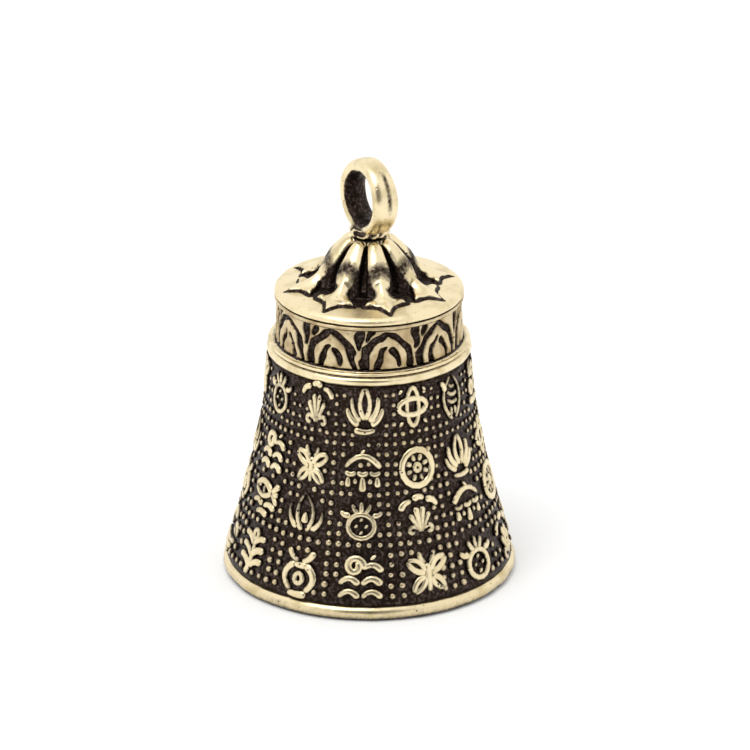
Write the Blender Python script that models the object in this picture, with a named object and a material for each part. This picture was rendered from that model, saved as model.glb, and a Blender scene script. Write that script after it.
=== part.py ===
"""A small cast temple bell, as an assembly: a flared skirt between a polished lip and a waist ring, a drum and
a domed cap above it, an eight-tined lotus crown, a suspension loop whose shank clamps the crown, and a clapper
that hangs inside on an eye and a jump ring. Metres, +Z up, origin at the centre of the mouth plane.
"""

import math

import bmesh
import bpy
from mathutils import Matrix, Vector

MM = 0.001

# Fits
SEAT_GAP = 0.08 * MM
PIN_GAP = 0.05 * MM

# Lip of the mouth
MOUTH_RADIUS = 11.0 * MM
RIM_HEIGHT = 1.1 * MM
RIM_REST_INSET = 0.55 * MM
TONGUE_HEIGHT = 0.8 * MM
TONGUE_WIDTH = 0.42 * MM

# Skirt
LIP_STANDS_OUT = 0.27 * MM
WAIST_RADIUS = 7.45 * MM
SKIRT_HEIGHT = 16.1 * MM
FLARE_POWER = 1.54
SKIRT_WALL = 1.35 * MM
NECK_STEP = 0.5 * MM

# Waist ring
RING_HEIGHT = 1.05 * MM
RING_STANDS_OUT = 0.2 * MM
RING_UPPER_BEAD = 0.22 * MM
RING_MAIN_BEAD_RADIUS = 0.32 * MM
RING_GROOVE_DEPTH = 0.25 * MM

# Drum between the waist ring and the cap
DRUM_HEIGHT = 3.4 * MM
DRUM_TOP_INSET = 0.55 * MM
DRUM_BOTTOM_INSET = 0.48 * MM
DRUM_WALL = 1.38 * MM
DRUM_BEAD = 0.3 * MM
SPIGOT_DEPTH = 0.8 * MM
SPIGOT_WALL = 0.5 * MM

# Cap
CAP_OVERHANG = 0.17 * MM
CAP_EDGE = 0.5 * MM
CAP_DOME = 0.62 * MM
CAP_BOSS_RADIUS = 2.6 * MM
CAP_BOSS_DEPTH = 0.5 * MM

# Lotus crown
TINES = 8
TINE_TURN = math.radians(29.0)
CROWN_TOP = 3.35 * MM
CROWN_TOP_RADIUS = 1.7 * MM
KNUCKLE_RADIUS = 3.55 * MM
KNUCKLE_HEIGHT = 1.45 * MM
FOOT_FALL_POWER = 1.3
TINE_TIP_INSET = 0.62 * MM
LOBE_INSET = 0.95 * MM
CLEFT_INSET = 1.95 * MM
FOOT_THICKNESS = 0.34 * MM
STRAP_WIDTH = 1.7 * MM
VALLEY_DEPTH = 1.1 * MM
STRAP_ROUNDING = 0.4 * MM
HEAD_FLAT_SHARE = 0.9

# Suspension loop and its shank
LOOP_HOLE_RADIUS = 1.85 * MM
LOOP_THICKNESS = 1.12 * MM
LOOP_WIDTH = 2.1 * MM
LOOP_FOOT_RADIUS = 1.6 * MM
LOOP_FOOT_HEIGHT = 0.45 * MM
LOOP_FOOT_TOP_RADIUS = 1.35 * MM
SHANK_RADIUS = 0.9 * MM

# Washer, nut and eye screw inside the drum
WASHER_RADIUS = 2.3 * MM
WASHER_HEIGHT = 0.4 * MM
NUT_ACROSS_FLATS = 3.4 * MM
NUT_HEIGHT = 1.2 * MM
SHANK_PAST_NUT = 0.3 * MM
EYE_PIN_RADIUS = 0.4 * MM
EYE_PIN_LENGTH = 1.4 * MM
EYE_COLLAR_RADIUS = 0.8 * MM
EYE_COLLAR_HEIGHT = 0.35 * MM
EYE_RING_RADIUS = 1.05 * MM

# Jump ring and clapper
WIRE_RADIUS = 0.33 * MM
LINK_RING_RADIUS = 1.5 * MM
ROD_EYE_RADIUS = 1.0 * MM
ROD_RADIUS = 0.45 * MM
BALL_RADIUS = 2.2 * MM
BALL_ABOVE_MOUTH = 4.4 * MM
BALL_BORE_FLAT = 0.75 * MM
CAP_NUT_RADIUS = 0.85 * MM
CAP_NUT_HEIGHT = 0.85 * MM
CAP_NUT_SOCKET = 0.45 * MM
CAP_NUT_NOSE_RADIUS = 0.6 * MM
CAP_NUT_NOSE_HEIGHT = 0.09 * MM

# Heights that follow from the sizes above
SKIRT_FOOT_Z = RIM_HEIGHT + SEAT_GAP
SHOULDER_Z = SKIRT_FOOT_Z + SKIRT_HEIGHT
RING_Z = SHOULDER_Z + SEAT_GAP
NECK_TOP_Z = RING_Z + RING_HEIGHT
DRUM_Z = NECK_TOP_Z + SEAT_GAP
DRUM_TOP_Z = DRUM_Z + DRUM_HEIGHT
CAP_Z = DRUM_TOP_Z + SEAT_GAP
CAP_TOP_Z = CAP_Z + CAP_EDGE + CAP_DOME
CROWN_TOP_Z = CAP_TOP_Z + SEAT_GAP + CROWN_TOP
LOOP_FOOT_Z = CROWN_TOP_Z + SEAT_GAP
LOOP_RADIUS = LOOP_HOLE_RADIUS + LOOP_THICKNESS
LOOP_Z = LOOP_FOOT_Z + LOOP_RADIUS
BOSS_Z = CAP_Z - CAP_BOSS_DEPTH
WASHER_Z = BOSS_Z - SEAT_GAP - WASHER_HEIGHT
NUT_Z = WASHER_Z - SEAT_GAP - NUT_HEIGHT
SHANK_END_Z = NUT_Z - SHANK_PAST_NUT
EYE_COLLAR_Z = SHANK_END_Z - SEAT_GAP - EYE_COLLAR_HEIGHT
EYE_Z = EYE_COLLAR_Z - EYE_RING_RADIUS
EYE_AXIS_Z = EYE_Z - EYE_RING_RADIUS
WIRE_STEP = 2 * WIRE_RADIUS + PIN_GAP
LINK_Z = EYE_AXIS_Z + WIRE_STEP - LINK_RING_RADIUS
LINK_AXIS_Z = LINK_Z - LINK_RING_RADIUS
ROD_EYE_Z = LINK_AXIS_Z + WIRE_STEP - ROD_EYE_RADIUS
ROD_TOP_Z = ROD_EYE_Z - ROD_EYE_RADIUS
BALL_TOP_Z = BALL_ABOVE_MOUTH + math.sqrt(BALL_RADIUS**2 - BALL_BORE_FLAT**2)
BALL_BOTTOM_Z = 2 * BALL_ABOVE_MOUTH - BALL_TOP_Z
CAP_NUT_TOP_Z = BALL_BOTTOM_Z - SEAT_GAP
ROD_END_Z = CAP_NUT_TOP_Z - CAP_NUT_SOCKET + SEAT_GAP

# Radii that follow from the sizes above
SKIRT_FOOT_RADIUS = MOUTH_RADIUS - LIP_STANDS_OUT
DRUM_TOP_RADIUS = WAIST_RADIUS - DRUM_TOP_INSET
DRUM_BOTTOM_RADIUS = WAIST_RADIUS - DRUM_BOTTOM_INSET
CAP_RADIUS = DRUM_TOP_RADIUS + CAP_OVERHANG
TINE_TIP_RADIUS = CAP_RADIUS - TINE_TIP_INSET
LOBE_RADIUS = TINE_TIP_RADIUS - LOBE_INSET
CLEFT_RADIUS = TINE_TIP_RADIUS - CLEFT_INSET
NECK_RADIUS = WAIST_RADIUS - NECK_STEP
NECK_BORE = WAIST_RADIUS - SKIRT_WALL
SKIRT_FOOT_BORE = SKIRT_FOOT_RADIUS - SKIRT_WALL
REBATE_RADIUS = SKIRT_FOOT_BORE + TONGUE_WIDTH + SEAT_GAP
DRUM_BORE = DRUM_TOP_RADIUS - DRUM_WALL
SPIGOT_RADIUS = NECK_BORE - SEAT_GAP
SHANK_BORE = SHANK_RADIUS + PIN_GAP
ROD_BORE = ROD_RADIUS + PIN_GAP

# A tine's outline: how far across to its neighbour each corner is, and its radius
TINE_CORNERS = [
    (0.0, TINE_TIP_RADIUS),
    (0.3, (TINE_TIP_RADIUS + CLEFT_RADIUS) / 2),
    (0.7, LOBE_RADIUS),
    (0.85, CLEFT_RADIUS),
    (1.0, CLEFT_RADIUS),
]

# Fineness of the turned and swept surfaces
FINE_STEPS = 56
SMALL_STEPS = 24
WIRE_SIDES = 10
WIRE_STEPS = 24
TINE_STEPS = 12
FLARE_POINTS = 9
DOME_RADII = (CAP_RADIUS / 2, CAP_RADIUS * 0.85)
TINE_SHARES = (0.08, 0.18, 0.28, 0.4, 0.52, 0.66, 0.82, 1.0)
MERGE_DISTANCE = 0.001 * MM

AGED = ((0.055, 0.042, 0.034), 0.5)
BRUSHED = ((0.42, 0.33, 0.19), 0.36)
POLISHED = ((0.62, 0.50, 0.30), 0.26)
INNER = ((0.30, 0.22, 0.12), 0.45)


def clear_scene():
    """Empties the scene of whatever it starts with."""
    for obj in list(bpy.data.objects):
        bpy.data.objects.remove(obj)


def brass(name, finish):
    """Returns a brass material of one of the finishes above."""
    colour, roughness = finish
    material = bpy.data.materials.new(name)
    material.use_nodes = True
    shader = material.node_tree.nodes["Principled BSDF"]
    shader.inputs["Base Color"].default_value = (*colour, 1.0)
    shader.inputs["Metallic"].default_value = 1.0
    shader.inputs["Roughness"].default_value = roughness
    return material


def add_object(name, bm, finish, helper=False):
    """Makes an object from a bmesh. A helper only lends its shape to another object's Boolean."""
    mesh = bpy.data.meshes.new(name)
    bm.to_mesh(mesh)
    bm.free()
    mesh.shade_smooth()
    obj = bpy.data.objects.new(name, mesh)
    bpy.context.scene.collection.objects.link(obj)
    if helper:
        obj.hide_render = True
        obj.display_type = "WIRE"
    else:
        mesh.materials.append(brass(name, finish))
    return obj


def arc(centre_r, centre_z, radius, start, end, points):
    """Returns points on an arc in the (r, z) plane, from angle start to angle end in degrees."""
    angles = [math.radians(start + (end - start) * i / (points - 1)) for i in range(points)]
    return [(centre_r + radius * math.cos(a), centre_z + radius * math.sin(a)) for a in angles]


def turn(outline, steps, matrix=None):
    """Turns an outline of (r, z) points about Z. It is a closed loop, or it starts and ends on the axis.

    The outline runs down its outer side and back up its inner side or the axis.
    """
    bm = bmesh.new()
    on_axis = outline[0][0] < MERGE_DISTANCE
    verts = [bm.verts.new((r, 0, z)) for r, z in outline]
    edges = [bm.edges.new(pair) for pair in zip(verts, verts[1:])]
    if not on_axis:
        edges.append(bm.edges.new((verts[-1], verts[0])))
    bmesh.ops.spin(
        bm,
        geom=verts + edges,
        cent=(0, 0, 0),
        axis=(0, 0, 1),
        angle=math.tau,
        steps=steps,
        use_duplicate=False,
    )
    bmesh.ops.remove_doubles(bm, verts=bm.verts, dist=MERGE_DISTANCE)
    bmesh.ops.recalc_face_normals(bm, faces=bm.faces)
    if matrix:
        bm.transform(matrix)
    return bm


def wire_ring(centre_z, ring_radius, axis):
    """A closed ring of round wire, standing upright with its hole along the axis X or Y."""
    outline = [
        (ring_radius + WIRE_RADIUS * math.cos(a), WIRE_RADIUS * math.sin(a))
        for a in (math.tau * i / WIRE_SIDES for i in range(WIRE_SIDES))
    ]
    upright = Matrix.Rotation(math.pi / 2, 4, "Y" if axis == "X" else "X")
    return turn(outline, WIRE_STEPS, Matrix.Translation((0, 0, centre_z)) @ upright)


def join(obj, helper):
    """Unites a helper's shape with an object by a Boolean modifier."""
    modifier = obj.modifiers.new(helper.name, "BOOLEAN")
    modifier.operation = "UNION"
    modifier.solver = "EXACT"
    modifier.object = helper


def cut(obj, helper):
    """Cuts a helper's shape out of an object by a Boolean modifier."""
    modifier = obj.modifiers.new(helper.name, "BOOLEAN")
    modifier.operation = "DIFFERENCE"
    modifier.solver = "EXACT"
    modifier.object = helper


def flare(z):
    """Outer radius of the skirt at a height, from the waist down to the foot."""
    share = (SHOULDER_Z - z) / SKIRT_HEIGHT
    return WAIST_RADIUS + (SKIRT_FOOT_RADIUS - WAIST_RADIUS) * share**FLARE_POWER


def flare_points(inset, low, high, points):
    """Points on the flare from height high down to height low, a distance inside the outer surface."""
    heights = [high + (low - high) * i / (points - 1) for i in range(points)]
    return [(flare(z) - inset, z) for z in heights]


def dome(radius):
    """Height of the cap's upper surface at a radius."""
    return CAP_Z + CAP_EDGE + CAP_DOME * (1 - (radius / CAP_RADIUS) ** 2)


def make_mouth_rim():
    """The polished lip, with a flat foot to stand on and a tongue that centres it in the skirt."""
    bore = SKIRT_FOOT_BORE
    half = RIM_HEIGHT / 2
    outline = [(bore + TONGUE_WIDTH, RIM_HEIGHT + TONGUE_HEIGHT), (bore + TONGUE_WIDTH, RIM_HEIGHT)]
    outline += arc(MOUTH_RADIUS - half, half, half, 90, -60, 7)
    outline += [(MOUTH_RADIUS - RIM_REST_INSET, 0), (bore, 0), (bore, RIM_HEIGHT + TONGUE_HEIGHT)]
    add_object("mouth_rim", turn(outline, FINE_STEPS), POLISHED)


def make_bell_skirt():
    """The flared skirt, with a rebate for the lip's tongue and a neck that the waist ring sits round."""
    rebate_top = SKIRT_FOOT_Z + TONGUE_HEIGHT
    outline = [(NECK_RADIUS, NECK_TOP_Z), (NECK_RADIUS, SHOULDER_Z)]
    outline += flare_points(0, SKIRT_FOOT_Z, SHOULDER_Z, FLARE_POINTS)
    outline += [(REBATE_RADIUS, SKIRT_FOOT_Z), (REBATE_RADIUS, rebate_top)]
    outline += reversed(flare_points(SKIRT_WALL, rebate_top, SHOULDER_Z, FLARE_POINTS))
    outline += [(NECK_BORE, NECK_TOP_Z)]
    add_object("bell_skirt", turn(outline, FINE_STEPS), AGED)


def make_waist_ring():
    """The moulding at the waist: a main bead below, a groove, and a thin upper bead."""
    bore = NECK_RADIUS + SEAT_GAP
    bead = RING_MAIN_BEAD_RADIUS
    outer = WAIST_RADIUS + RING_STANDS_OUT
    groove = outer - RING_GROOVE_DEPTH
    outline = [(bore, NECK_TOP_Z), (groove, NECK_TOP_Z)]
    outline += [(groove + RING_UPPER_BEAD / 2, NECK_TOP_Z - RING_UPPER_BEAD / 2)]
    outline += [(groove, NECK_TOP_Z - RING_UPPER_BEAD)]
    outline += arc(outer - bead, RING_Z + bead, bead, 80, -90, 8)
    outline += [(bore, RING_Z)]
    add_object("waist_ring", turn(outline, FINE_STEPS), POLISHED)


def make_shoulder_drum():
    """The drum above the waist ring, with a bead round its top and a spigot that centres it in the neck."""
    bead = DRUM_BEAD / 2
    outline = [(DRUM_BORE, DRUM_TOP_Z), (DRUM_TOP_RADIUS, DRUM_TOP_Z)]
    outline += arc(DRUM_TOP_RADIUS, DRUM_TOP_Z - bead, bead, 70, -90, 6)
    outline += [(DRUM_BOTTOM_RADIUS, DRUM_Z), (SPIGOT_RADIUS, DRUM_Z)]
    outline += [(SPIGOT_RADIUS, DRUM_Z - SPIGOT_DEPTH)]
    outline += [(SPIGOT_RADIUS - SPIGOT_WALL, DRUM_Z - SPIGOT_DEPTH)]
    add_object("shoulder_drum", turn(outline, FINE_STEPS), BRUSHED)


def make_shoulder_cap():
    """The domed cap, with a spigot inside the drum, a boss for the washer and a bore for the shank."""
    edge = CAP_EDGE / 2
    spigot = DRUM_BORE - SEAT_GAP
    outline = [(radius, dome(radius)) for radius in (SHANK_BORE, *DOME_RADII)]
    outline += arc(CAP_RADIUS - edge, CAP_Z + edge, edge, 75, -90, 5)
    outline += [(spigot, CAP_Z), (spigot, CAP_Z - SPIGOT_DEPTH)]
    outline += [(spigot - SPIGOT_WALL, CAP_Z - SPIGOT_DEPTH), (spigot - SPIGOT_WALL, CAP_Z)]
    outline += [(CAP_BOSS_RADIUS, CAP_Z), (CAP_BOSS_RADIUS, BOSS_Z), (SHANK_BORE, BOSS_Z)]
    add_object("shoulder_cap", turn(outline, FINE_STEPS), POLISHED)


def tine_outline(across):
    """Radius of a tine's outline where across runs from 0 on its ridge to 1 half-way to its neighbour."""
    for (a, first), (b, second) in zip(TINE_CORNERS, TINE_CORNERS[1:]):
        if across <= b:
            return first + (second - first) * (across - a) / (b - a)
    return CLEFT_RADIUS


def ridge_height(radius):
    """Height of a tine's ridge over the cap: a steep strap down to the knuckle, then the sloping foot."""
    if radius < CROWN_TOP_RADIUS:
        return CROWN_TOP
    if radius < KNUCKLE_RADIUS:
        down = (radius - CROWN_TOP_RADIUS) / (KNUCKLE_RADIUS - CROWN_TOP_RADIUS)
        return CROWN_TOP + (KNUCKLE_HEIGHT - CROWN_TOP) * down
    down = (radius - KNUCKLE_RADIUS) / (TINE_TIP_RADIUS - KNUCKLE_RADIUS)
    return FOOT_THICKNESS + (KNUCKLE_HEIGHT - FOOT_THICKNESS) * (1 - min(down, 1)) ** FOOT_FALL_POWER


def crown_height(radius, across):
    """Height of the crown's surface over the cap: the ridge, or the valley beside the strap."""
    ridge = ridge_height(radius)
    if radius <= CROWN_TOP_RADIUS:
        return ridge
    aside = across * radius * math.pi / TINES
    share = min(aside / (STRAP_WIDTH / 2), 1.0)
    rounded = ridge - STRAP_ROUNDING * share**2
    valley = max(ridge - VALLEY_DEPTH, FOOT_THICKNESS)
    return max(min(ridge, rounded) if share < 1 else valley, FOOT_THICKNESS)


def make_lotus_crown():
    """The crown casting: eight tines that fall from a round head and end in three-pointed feet on the cap."""
    inner = SHANK_BORE
    top_radii = [inner, CROWN_TOP_RADIUS * HEAD_FLAT_SHARE, CROWN_TOP_RADIUS]
    count = TINES * TINE_STEPS
    columns = []
    bm = bmesh.new()
    for i in range(count):
        angle = TINE_TURN + math.tau * i / count
        across = abs((i % TINE_STEPS) / TINE_STEPS * 2 - 1)
        across = 1 - across
        outline = tine_outline(across)
        radii = top_radii + [CROWN_TOP_RADIUS + (outline - CROWN_TOP_RADIUS) * s for s in TINE_SHARES]
        top = [(r, dome(0) + SEAT_GAP + crown_height(r, across) - (dome(0) - dome(r))) for r in radii]
        top[0] = (top[0][0], CROWN_TOP_Z)
        top[1] = (top[1][0], CROWN_TOP_Z)
        under_radii = [outline, (outline + inner) / 2, inner]
        under = [(r, dome(r) + SEAT_GAP) for r in under_radii]
        points = top + under
        columns.append(
            [bm.verts.new((r * math.cos(angle), r * math.sin(angle), z)) for r, z in points]
        )
    for column, following in zip(columns, columns[1:] + columns[:1]):
        for k in range(len(column)):
            j = (k + 1) % len(column)
            bm.faces.new((column[k], column[j], following[j], following[k]))
    bmesh.ops.recalc_face_normals(bm, faces=bm.faces)
    add_object("lotus_crown", bm, POLISHED)


def make_suspension_loop():
    """The upright loop on its foot, with a shank that runs down through the crown and the cap."""
    half = LOOP_WIDTH / 2
    middle = LOOP_HOLE_RADIUS + LOOP_THICKNESS / 2
    corner = LOOP_THICKNESS / 2
    outline = arc(middle, half - corner, corner, 90, 0, 5)
    outline += arc(middle, corner - half, corner, 0, -180, 9)
    outline += arc(middle, half - corner, corner, 180, 112.5, 4)
    upright = Matrix.Translation((0, 0, LOOP_Z)) @ Matrix.Rotation(math.pi / 2, 4, "X")
    loop = add_object("suspension_loop", turn(outline, 2 * SMALL_STEPS, upright), POLISHED)
    pin_bore = EYE_PIN_RADIUS + PIN_GAP
    pin_top = EYE_COLLAR_Z + EYE_COLLAR_HEIGHT + EYE_PIN_LENGTH + SEAT_GAP
    foot_top = LOOP_FOOT_Z + LOOP_FOOT_HEIGHT
    foot = [(0, foot_top), (LOOP_FOOT_TOP_RADIUS, foot_top), (LOOP_FOOT_RADIUS, LOOP_FOOT_Z)]
    foot += [(SHANK_RADIUS, LOOP_FOOT_Z), (SHANK_RADIUS, SHANK_END_Z), (pin_bore, SHANK_END_Z)]
    foot += [(pin_bore, pin_top), (0, pin_top)]
    join(loop, add_object("loop_shank_helper", turn(foot, SMALL_STEPS), POLISHED, helper=True))


def make_crown_washer():
    """The washer between the cap's boss and the nut."""
    top = WASHER_Z + WASHER_HEIGHT
    outline = [(SHANK_BORE, top), (WASHER_RADIUS, top), (WASHER_RADIUS, WASHER_Z), (SHANK_BORE, WASHER_Z)]
    add_object("crown_washer", turn(outline, SMALL_STEPS), INNER)


def make_shank_nut():
    """The hexagonal nut that clamps the loop, the crown and the cap together."""
    bm = bmesh.new()
    place = Matrix.Translation((0, 0, NUT_Z + NUT_HEIGHT / 2))
    radius = NUT_ACROSS_FLATS / math.sqrt(3)
    bmesh.ops.create_cone(
        bm, cap_ends=True, segments=6, radius1=radius, radius2=radius, depth=NUT_HEIGHT, matrix=place
    )
    nut = add_object("shank_nut", bm, INNER)
    high = NUT_Z + 2 * NUT_HEIGHT
    low = NUT_Z - NUT_HEIGHT
    bore = turn([(0, high), (SHANK_BORE, high), (SHANK_BORE, low), (0, low)], SMALL_STEPS)
    cut(nut, add_object("nut_bore_helper", bore, INNER, helper=True))
    nut.data.shade_flat()


def make_clapper_eye():
    """The eye screw in the shank's end: a pin and a collar with a wire eye below them."""
    eye = add_object("clapper_eye", wire_ring(EYE_Z, EYE_RING_RADIUS, "Y"), INNER)
    collar_top = EYE_COLLAR_Z + EYE_COLLAR_HEIGHT
    pin_top = collar_top + EYE_PIN_LENGTH
    neck = EYE_COLLAR_Z - WIRE_RADIUS / 2
    outline = [(0, pin_top), (EYE_PIN_RADIUS, pin_top), (EYE_PIN_RADIUS, collar_top)]
    outline += [(EYE_COLLAR_RADIUS, collar_top), (EYE_COLLAR_RADIUS, EYE_COLLAR_Z)]
    outline += [(EYE_PIN_RADIUS, neck), (0, neck)]
    join(eye, add_object("eye_pin_helper", turn(outline, SMALL_STEPS), INNER, helper=True))


def hinge_point(name, z):
    """An empty that marks a joint's axis, for the pieces that turn about it."""
    empty = bpy.data.objects.new(name, None)
    empty.location = (0, 0, z)
    empty.empty_display_size = 2 * MM
    bpy.context.scene.collection.objects.link(empty)
    return empty


def hang(obj, parent, z):
    """Parents an object whose mesh is in world places to an empty at height z."""
    obj.parent = parent
    obj.matrix_parent_inverse = Matrix.Translation(Vector((0, 0, -z)))


def make_clapper():
    """The jump ring on the eye, and below it the rod, the ball and the cap nut on the rod's end."""
    link_axis = hinge_point("link_axis", EYE_AXIS_Z)
    rod_axis = hinge_point("rod_axis", LINK_AXIS_Z - EYE_AXIS_Z)
    rod_axis.parent = link_axis
    link = add_object("clapper_link", wire_ring(LINK_Z, LINK_RING_RADIUS, "X"), INNER)
    hang(link, link_axis, EYE_AXIS_Z)

    rod = add_object("clapper_rod", wire_ring(ROD_EYE_Z, ROD_EYE_RADIUS, "Y"), INNER)
    outline = [(0, ROD_TOP_Z), (ROD_RADIUS, ROD_TOP_Z - WIRE_RADIUS), (ROD_RADIUS, ROD_END_Z), (0, ROD_END_Z)]
    join(rod, add_object("rod_bar_helper", turn(outline, SMALL_STEPS // 2), INNER, helper=True))
    hang(rod, rod_axis, LINK_AXIS_Z)

    flat = math.degrees(math.asin(BALL_BORE_FLAT / BALL_RADIUS))
    outline = [(ROD_BORE, BALL_TOP_Z)]
    outline += arc(0, BALL_ABOVE_MOUTH, BALL_RADIUS, 90 - flat, flat - 90, 11)
    outline += [(ROD_BORE, BALL_BOTTOM_Z)]
    hang(add_object("clapper_ball", turn(outline, SMALL_STEPS), INNER), rod_axis, LINK_AXIS_Z)

    low = CAP_NUT_TOP_Z - CAP_NUT_HEIGHT
    socket = CAP_NUT_TOP_Z - CAP_NUT_SOCKET
    outline = [(0, socket), (ROD_BORE, socket), (ROD_BORE, CAP_NUT_TOP_Z), (CAP_NUT_RADIUS, CAP_NUT_TOP_Z)]
    outline += [(CAP_NUT_RADIUS, socket), (CAP_NUT_NOSE_RADIUS, low + CAP_NUT_NOSE_HEIGHT), (0, low)]
    hang(add_object("clapper_cap_nut", turn(outline, SMALL_STEPS // 2), INNER), rod_axis, LINK_AXIS_Z)


clear_scene()
make_mouth_rim()
make_bell_skirt()
make_waist_ring()
make_shoulder_drum()
make_shoulder_cap()
make_lotus_crown()
make_suspension_loop()
make_crown_washer()
make_shank_nut()
make_clapper_eye()
make_clapper()
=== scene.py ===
"""Looks of a small cast brass temple bell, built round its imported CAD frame.

The bell is an antique brass casting: a dark brown ground with rubbed, cream-bright raised work. Each
sub-assembly is a class that works its sizes out from the frame, builds its meshes and dresses them.
"""

import logging
import math
from dataclasses import dataclass
from enum import Enum
from typing import Callable

import bmesh
import bpy
import numpy as np
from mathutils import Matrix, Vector

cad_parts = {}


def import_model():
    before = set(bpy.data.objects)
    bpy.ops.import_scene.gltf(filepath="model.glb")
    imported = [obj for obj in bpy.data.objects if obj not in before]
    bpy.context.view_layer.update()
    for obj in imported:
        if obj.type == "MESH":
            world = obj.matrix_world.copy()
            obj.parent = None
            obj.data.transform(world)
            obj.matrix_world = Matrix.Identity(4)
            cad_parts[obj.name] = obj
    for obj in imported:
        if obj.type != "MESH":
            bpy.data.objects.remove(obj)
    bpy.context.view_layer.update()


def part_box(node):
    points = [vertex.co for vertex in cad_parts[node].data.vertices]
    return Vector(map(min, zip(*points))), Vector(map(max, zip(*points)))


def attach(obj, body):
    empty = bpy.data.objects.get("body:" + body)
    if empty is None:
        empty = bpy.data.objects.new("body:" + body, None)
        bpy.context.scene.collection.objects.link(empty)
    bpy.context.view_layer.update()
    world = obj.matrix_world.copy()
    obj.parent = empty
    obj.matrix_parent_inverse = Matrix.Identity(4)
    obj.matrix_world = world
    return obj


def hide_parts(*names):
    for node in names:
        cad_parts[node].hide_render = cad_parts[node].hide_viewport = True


MM = 0.001
RELIEF = "relief"
HALF_WIDTH = "half_width"
OUTWARD = "outward"
CLAMPED_NODES = ("crown_washer", "shank_nut", "clapper_eye")
SEAT = 0.08 * MM
RING_STANDS_OUT = 0.2 * MM
NECK_STEP = 0.5 * MM
FAR = 10.0
BOW_POINTS = 11
HOOP_POINTS = 17
ROUND_END = 0.17

Piece = bpy.types.Object
Socket = bpy.types.NodeSocket
Colour = tuple[float, float, float]
Outline = list[tuple[float, float]]
Carving = tuple[np.ndarray, np.ndarray]

log = logging.getLogger("temple_bell")


# ---------------------------------------------------------------------------------------------------------
# Mesh helpers
# ---------------------------------------------------------------------------------------------------------


def new_object(name: str, points: np.ndarray, faces: list, relief: np.ndarray | None = None) -> Piece:
    """Makes a smooth mesh object at the origin.

    Args:
        name: The object's name.
        points: N by 3 vertex places in metres.
        faces: Vertex indices of each face, facing outwards.
        relief: How raised each vertex is, from 0 in a recess to 1 on a rubbed top. In a few places it is
            lowered to paint shade and dark reflections in the patina's colour.

    Returns:
        The new object, linked to the scene.
    """
    mesh = bpy.data.meshes.new(name)
    mesh.from_pydata([tuple(p) for p in points], [], [tuple(f) for f in faces])
    if relief is not None:
        layer = mesh.attributes.new(RELIEF, "FLOAT", "POINT")
        layer.data.foreach_set("value", np.clip(relief, 0, 1).astype(np.float32))
    mesh.update()
    mesh.shade_smooth()
    obj = bpy.data.objects.new(name, mesh)
    bpy.context.scene.collection.objects.link(obj)
    return obj


def arc(centre: tuple[float, float], radius: float, start: float, end: float, points: int) -> Outline:
    """Returns points on an arc in the (r, z) plane.

    Args:
        centre: The arc's centre as (r, z).
        radius: Its radius.
        start: The first point's angle in degrees.
        end: The last point's angle in degrees.
        points: How many points to give.

    Returns:
        The arc's points, in order.
    """
    angles = np.radians(np.linspace(start, end, points))
    return [(centre[0] + radius * math.cos(a), centre[1] + radius * math.sin(a)) for a in angles]


def grid_faces(rows: int, columns: int, close_rows: bool, close_columns: bool) -> list[tuple[int, ...]]:
    """Returns the quads of a grid of vertices numbered row by row.

    Args:
        rows: Number of rows of vertices.
        columns: Number of vertices in a row.
        close_rows: Whether the last row joins the first.
        close_columns: Whether each row joins up with itself.

    Returns:
        The vertex indices of each quad.
    """
    faces = []
    for i in range(rows if close_rows else rows - 1):
        for j in range(columns if close_columns else columns - 1):
            i2 = (i + 1) % rows
            j2 = (j + 1) % columns
            faces.append((i * columns + j, i * columns + j2, i2 * columns + j2, i2 * columns + j))
    return faces


def ripple(points: np.ndarray, wavelength: float, seed: int) -> np.ndarray:
    """A smooth, repeatable unevenness between about -1 and 1, as hand finishing leaves.

    Args:
        points: N by 3 places in metres.
        wavelength: The size of its waves in metres.
        seed: Picks the pattern.

    Returns:
        The unevenness at each place.
    """
    waves_added = 7
    rng = np.random.default_rng(seed)
    total = np.zeros(len(points))
    for _ in range(waves_added):
        direction = rng.normal(size=3)
        direction *= math.tau / wavelength / np.linalg.norm(direction) * rng.uniform(0.6, 1.6)
        total += np.sin(points @ direction + rng.uniform(0, math.tau))
    return total * 2 / waves_added


def turned(
    name: str,
    outline: Outline,
    steps: int,
    relief: list[float] | None = None,
    carve: Callable[[np.ndarray], Carving] | None = None,
) -> Piece:
    """Turns an outline about Z and carves its surface.

    Args:
        name: The object's name.
        outline: (r, z) points down the outer side and back up the inner side. It is a closed loop, unless
            it starts and ends on the axis.
        steps: Number of steps round.
        relief: Relief at each outline point, or None for a rubbed surface all over.
        carve: Takes the vertex places and gives how far each moves outwards, and its share of the relief.

    Returns:
        The turned object.
    """
    ring = np.array(outline)
    angles = np.repeat(np.arange(steps) * math.tau / steps, len(ring))
    radii = np.tile(ring[:, 0], steps)
    points = np.stack([radii * np.cos(angles), radii * np.sin(angles), np.tile(ring[:, 1], steps)], axis=-1)
    levels = np.tile(relief if relief is not None else np.ones(len(ring)), steps)
    if carve:
        push, share = carve(points)
        push = np.where(radii > 0, push, 0)
        points += push[:, None] * np.stack([np.cos(angles), np.sin(angles), np.zeros(len(angles))], axis=-1)
        levels = levels * share
    closed = outline[0][0] > 0
    obj = new_object(name, points, grid_faces(steps, len(ring), True, closed), levels)
    tidy_mesh(obj)
    return obj


def uneven(depth: float, wavelength: float, seed: int) -> Callable[[np.ndarray], Carving]:
    """Returns a carving that only lets the surface wander by a depth, in waves of a length."""
    return lambda points: (depth * ripple(points, wavelength, seed), np.ones(len(points)))


def smooth_step(value: np.ndarray, low: float, high: float) -> np.ndarray:
    """A smooth step from 0 at low to 1 at high."""
    share = np.clip((value - low) / (high - low), 0, 1)
    return share * share * (3 - 2 * share)


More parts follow.
